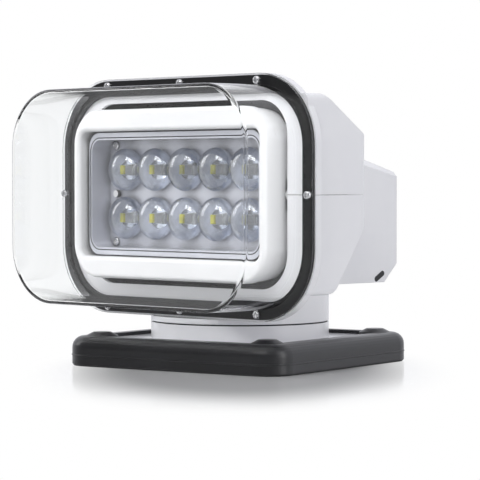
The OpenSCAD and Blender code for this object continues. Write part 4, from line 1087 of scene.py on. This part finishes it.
@dataclass(frozen=True)
class Studio:
    """Camera at the photograph's angle, pale floor, white surroundings and soft lamps."""

    camera_mm: Triple = (919.7, -903.8, 103.9)
    aim_mm: Triple = (0.0, 0.0, 69.4)
    lens_mm: float = 171.15
    sensor_mm: float = 36.0
    floor_half: float = 30.0
    floor_colour: Triple = (0.84, 0.84, 0.84)
    floor_rough: float = 0.1
    floor_fade: Pair = (0.11, 0.24)
    fade_centre: Triple = (0.036, -0.035, 0.0)
    fade_turn_deg: float = 44.5
    fade_across: float = 0.5
    ambient: float = 0.45
    room: float = 0.25
    room_span: Pair = (-0.6, 0.2)
    tint: Triple = (0.93, 0.94, 1.0)

    def camera(self) -> None:
        """Places the camera and makes it the scene's own."""
        data = bpy.data.cameras.new("photo_camera")
        data.lens = self.lens_mm
        data.sensor_width = self.sensor_mm
        cam = bpy.data.objects.new("photo_camera", data)
        cam.location = Vector(self.camera_mm) * MM
        cam.rotation_mode = "QUATERNION"
        look = (Vector(self.aim_mm) - Vector(self.camera_mm)).normalized()
        cam.rotation_quaternion = look.to_track_quat("-Z", "Y")
        bpy.context.scene.collection.objects.link(cam)
        bpy.context.scene.camera = cam

    def floor_material(self) -> bpy.types.Material:
        """A pale glossy floor that fades to white outside an oval round the part.

        Returns:
            The material.
        """
        material, kit, shader = new_material("Pale floor")
        kit.feed(shader, {"Base Color": (*self.floor_colour, 1), "Roughness": self.floor_rough})
        oval = kit.add("ShaderNodeMapping", {
            "Vector": kit.place(), "Location": self.fade_centre,
            "Rotation": (0.0, 0.0, math.radians(self.fade_turn_deg)),
            "Scale": (self.fade_across, 1.0, 1.0)}, vector_type="TEXTURE")
        far = kit.add("ShaderNodeVectorMath", {0: oval.outputs["Vector"]}, operation="LENGTH")
        share = kit.maths("MULTIPLY", kit.ramp(far.outputs["Value"], self.floor_fade), kit.seen())
        white = kit.add("ShaderNodeEmission")
        kit.show_mix(share, shader.outputs["BSDF"], white.outputs["Emission"])
        return material

    def floor(self) -> None:
        """Lays the floor, which keeps the shadow and a soft mirror image."""
        h = self.floor_half
        mesh = bpy.data.meshes.new("floor")
        mesh.from_pydata([(-h, -h, 0), (h, -h, 0), (h, h, 0), (-h, h, 0)], [], [(0, 1, 2, 3)])
        mesh.materials.append(self.floor_material())
        floor = bpy.data.objects.new("floor", mesh)
        bpy.context.scene.collection.objects.link(floor)

    def surroundings(self) -> None:
        """Lights the room: white where it is seen, and in reflections white behind and dim in front."""
        world = bpy.data.worlds.new("studio")
        bpy.context.scene.world = world
        world.use_nodes = True
        kit = NodeKit(world.node_tree)
        seen = kit.seen()
        axes = kit.add("ShaderNodeSeparateXYZ", {"Vector": kit.place("Generated")})
        mirrored = kit.ramp(axes.outputs["Y"], self.room_span, (self.room, 1.0))
        glossy = kit.add("ShaderNodeLightPath").outputs["Is Glossy Ray"]
        unseen = kit.mix("FLOAT", glossy, self.ambient, mirrored)
        kit.feed(kit.find("BACKGROUND"), {
            "Strength": kit.mix("FLOAT", seen, unseen, 1.0),
            "Color": kit.mix("RGBA", seen, (*self.tint, 1), (1, 1, 1, 1))})

    def build(self) -> None:
        """Sets up the camera, the floor, the surroundings and the lamps."""
        bpy.context.scene.view_settings.view_transform = "Standard"
        self.camera()
        self.floor()
        self.surroundings()
        for softbox in SOFTBOXES:
            softbox.hang()


def dress_frame(wardrobe: Wardrobe) -> None:
    """Gives every CAD node the material of its slot.

    Args:
        wardrobe: The finishes.
    """
    slots = {row["node"]: row["material_slot"] for row in frame["record"]["subparts"]}
    for name, node in frame["nodes"].items():
        wardrobe.dress(node, slots[name])
        LOG.info("dressed %s as %s", name, slots[name])


def main() -> None:
    """Builds and dresses each sub-assembly, then the studio round it."""
    logging.basicConfig(level=logging.INFO, format="%(message)s")
    wardrobe = Wardrobe()
    dress_frame(wardrobe)
    for assembly in (BaseAssembly(), DomeAssembly(), LampAssembly()):
        assembly.build()
        assembly.dress(wardrobe)
        LOG.info("finished %s", type(assembly).__name__)
    Studio().build()


if __name__ == "__main__":
    main()
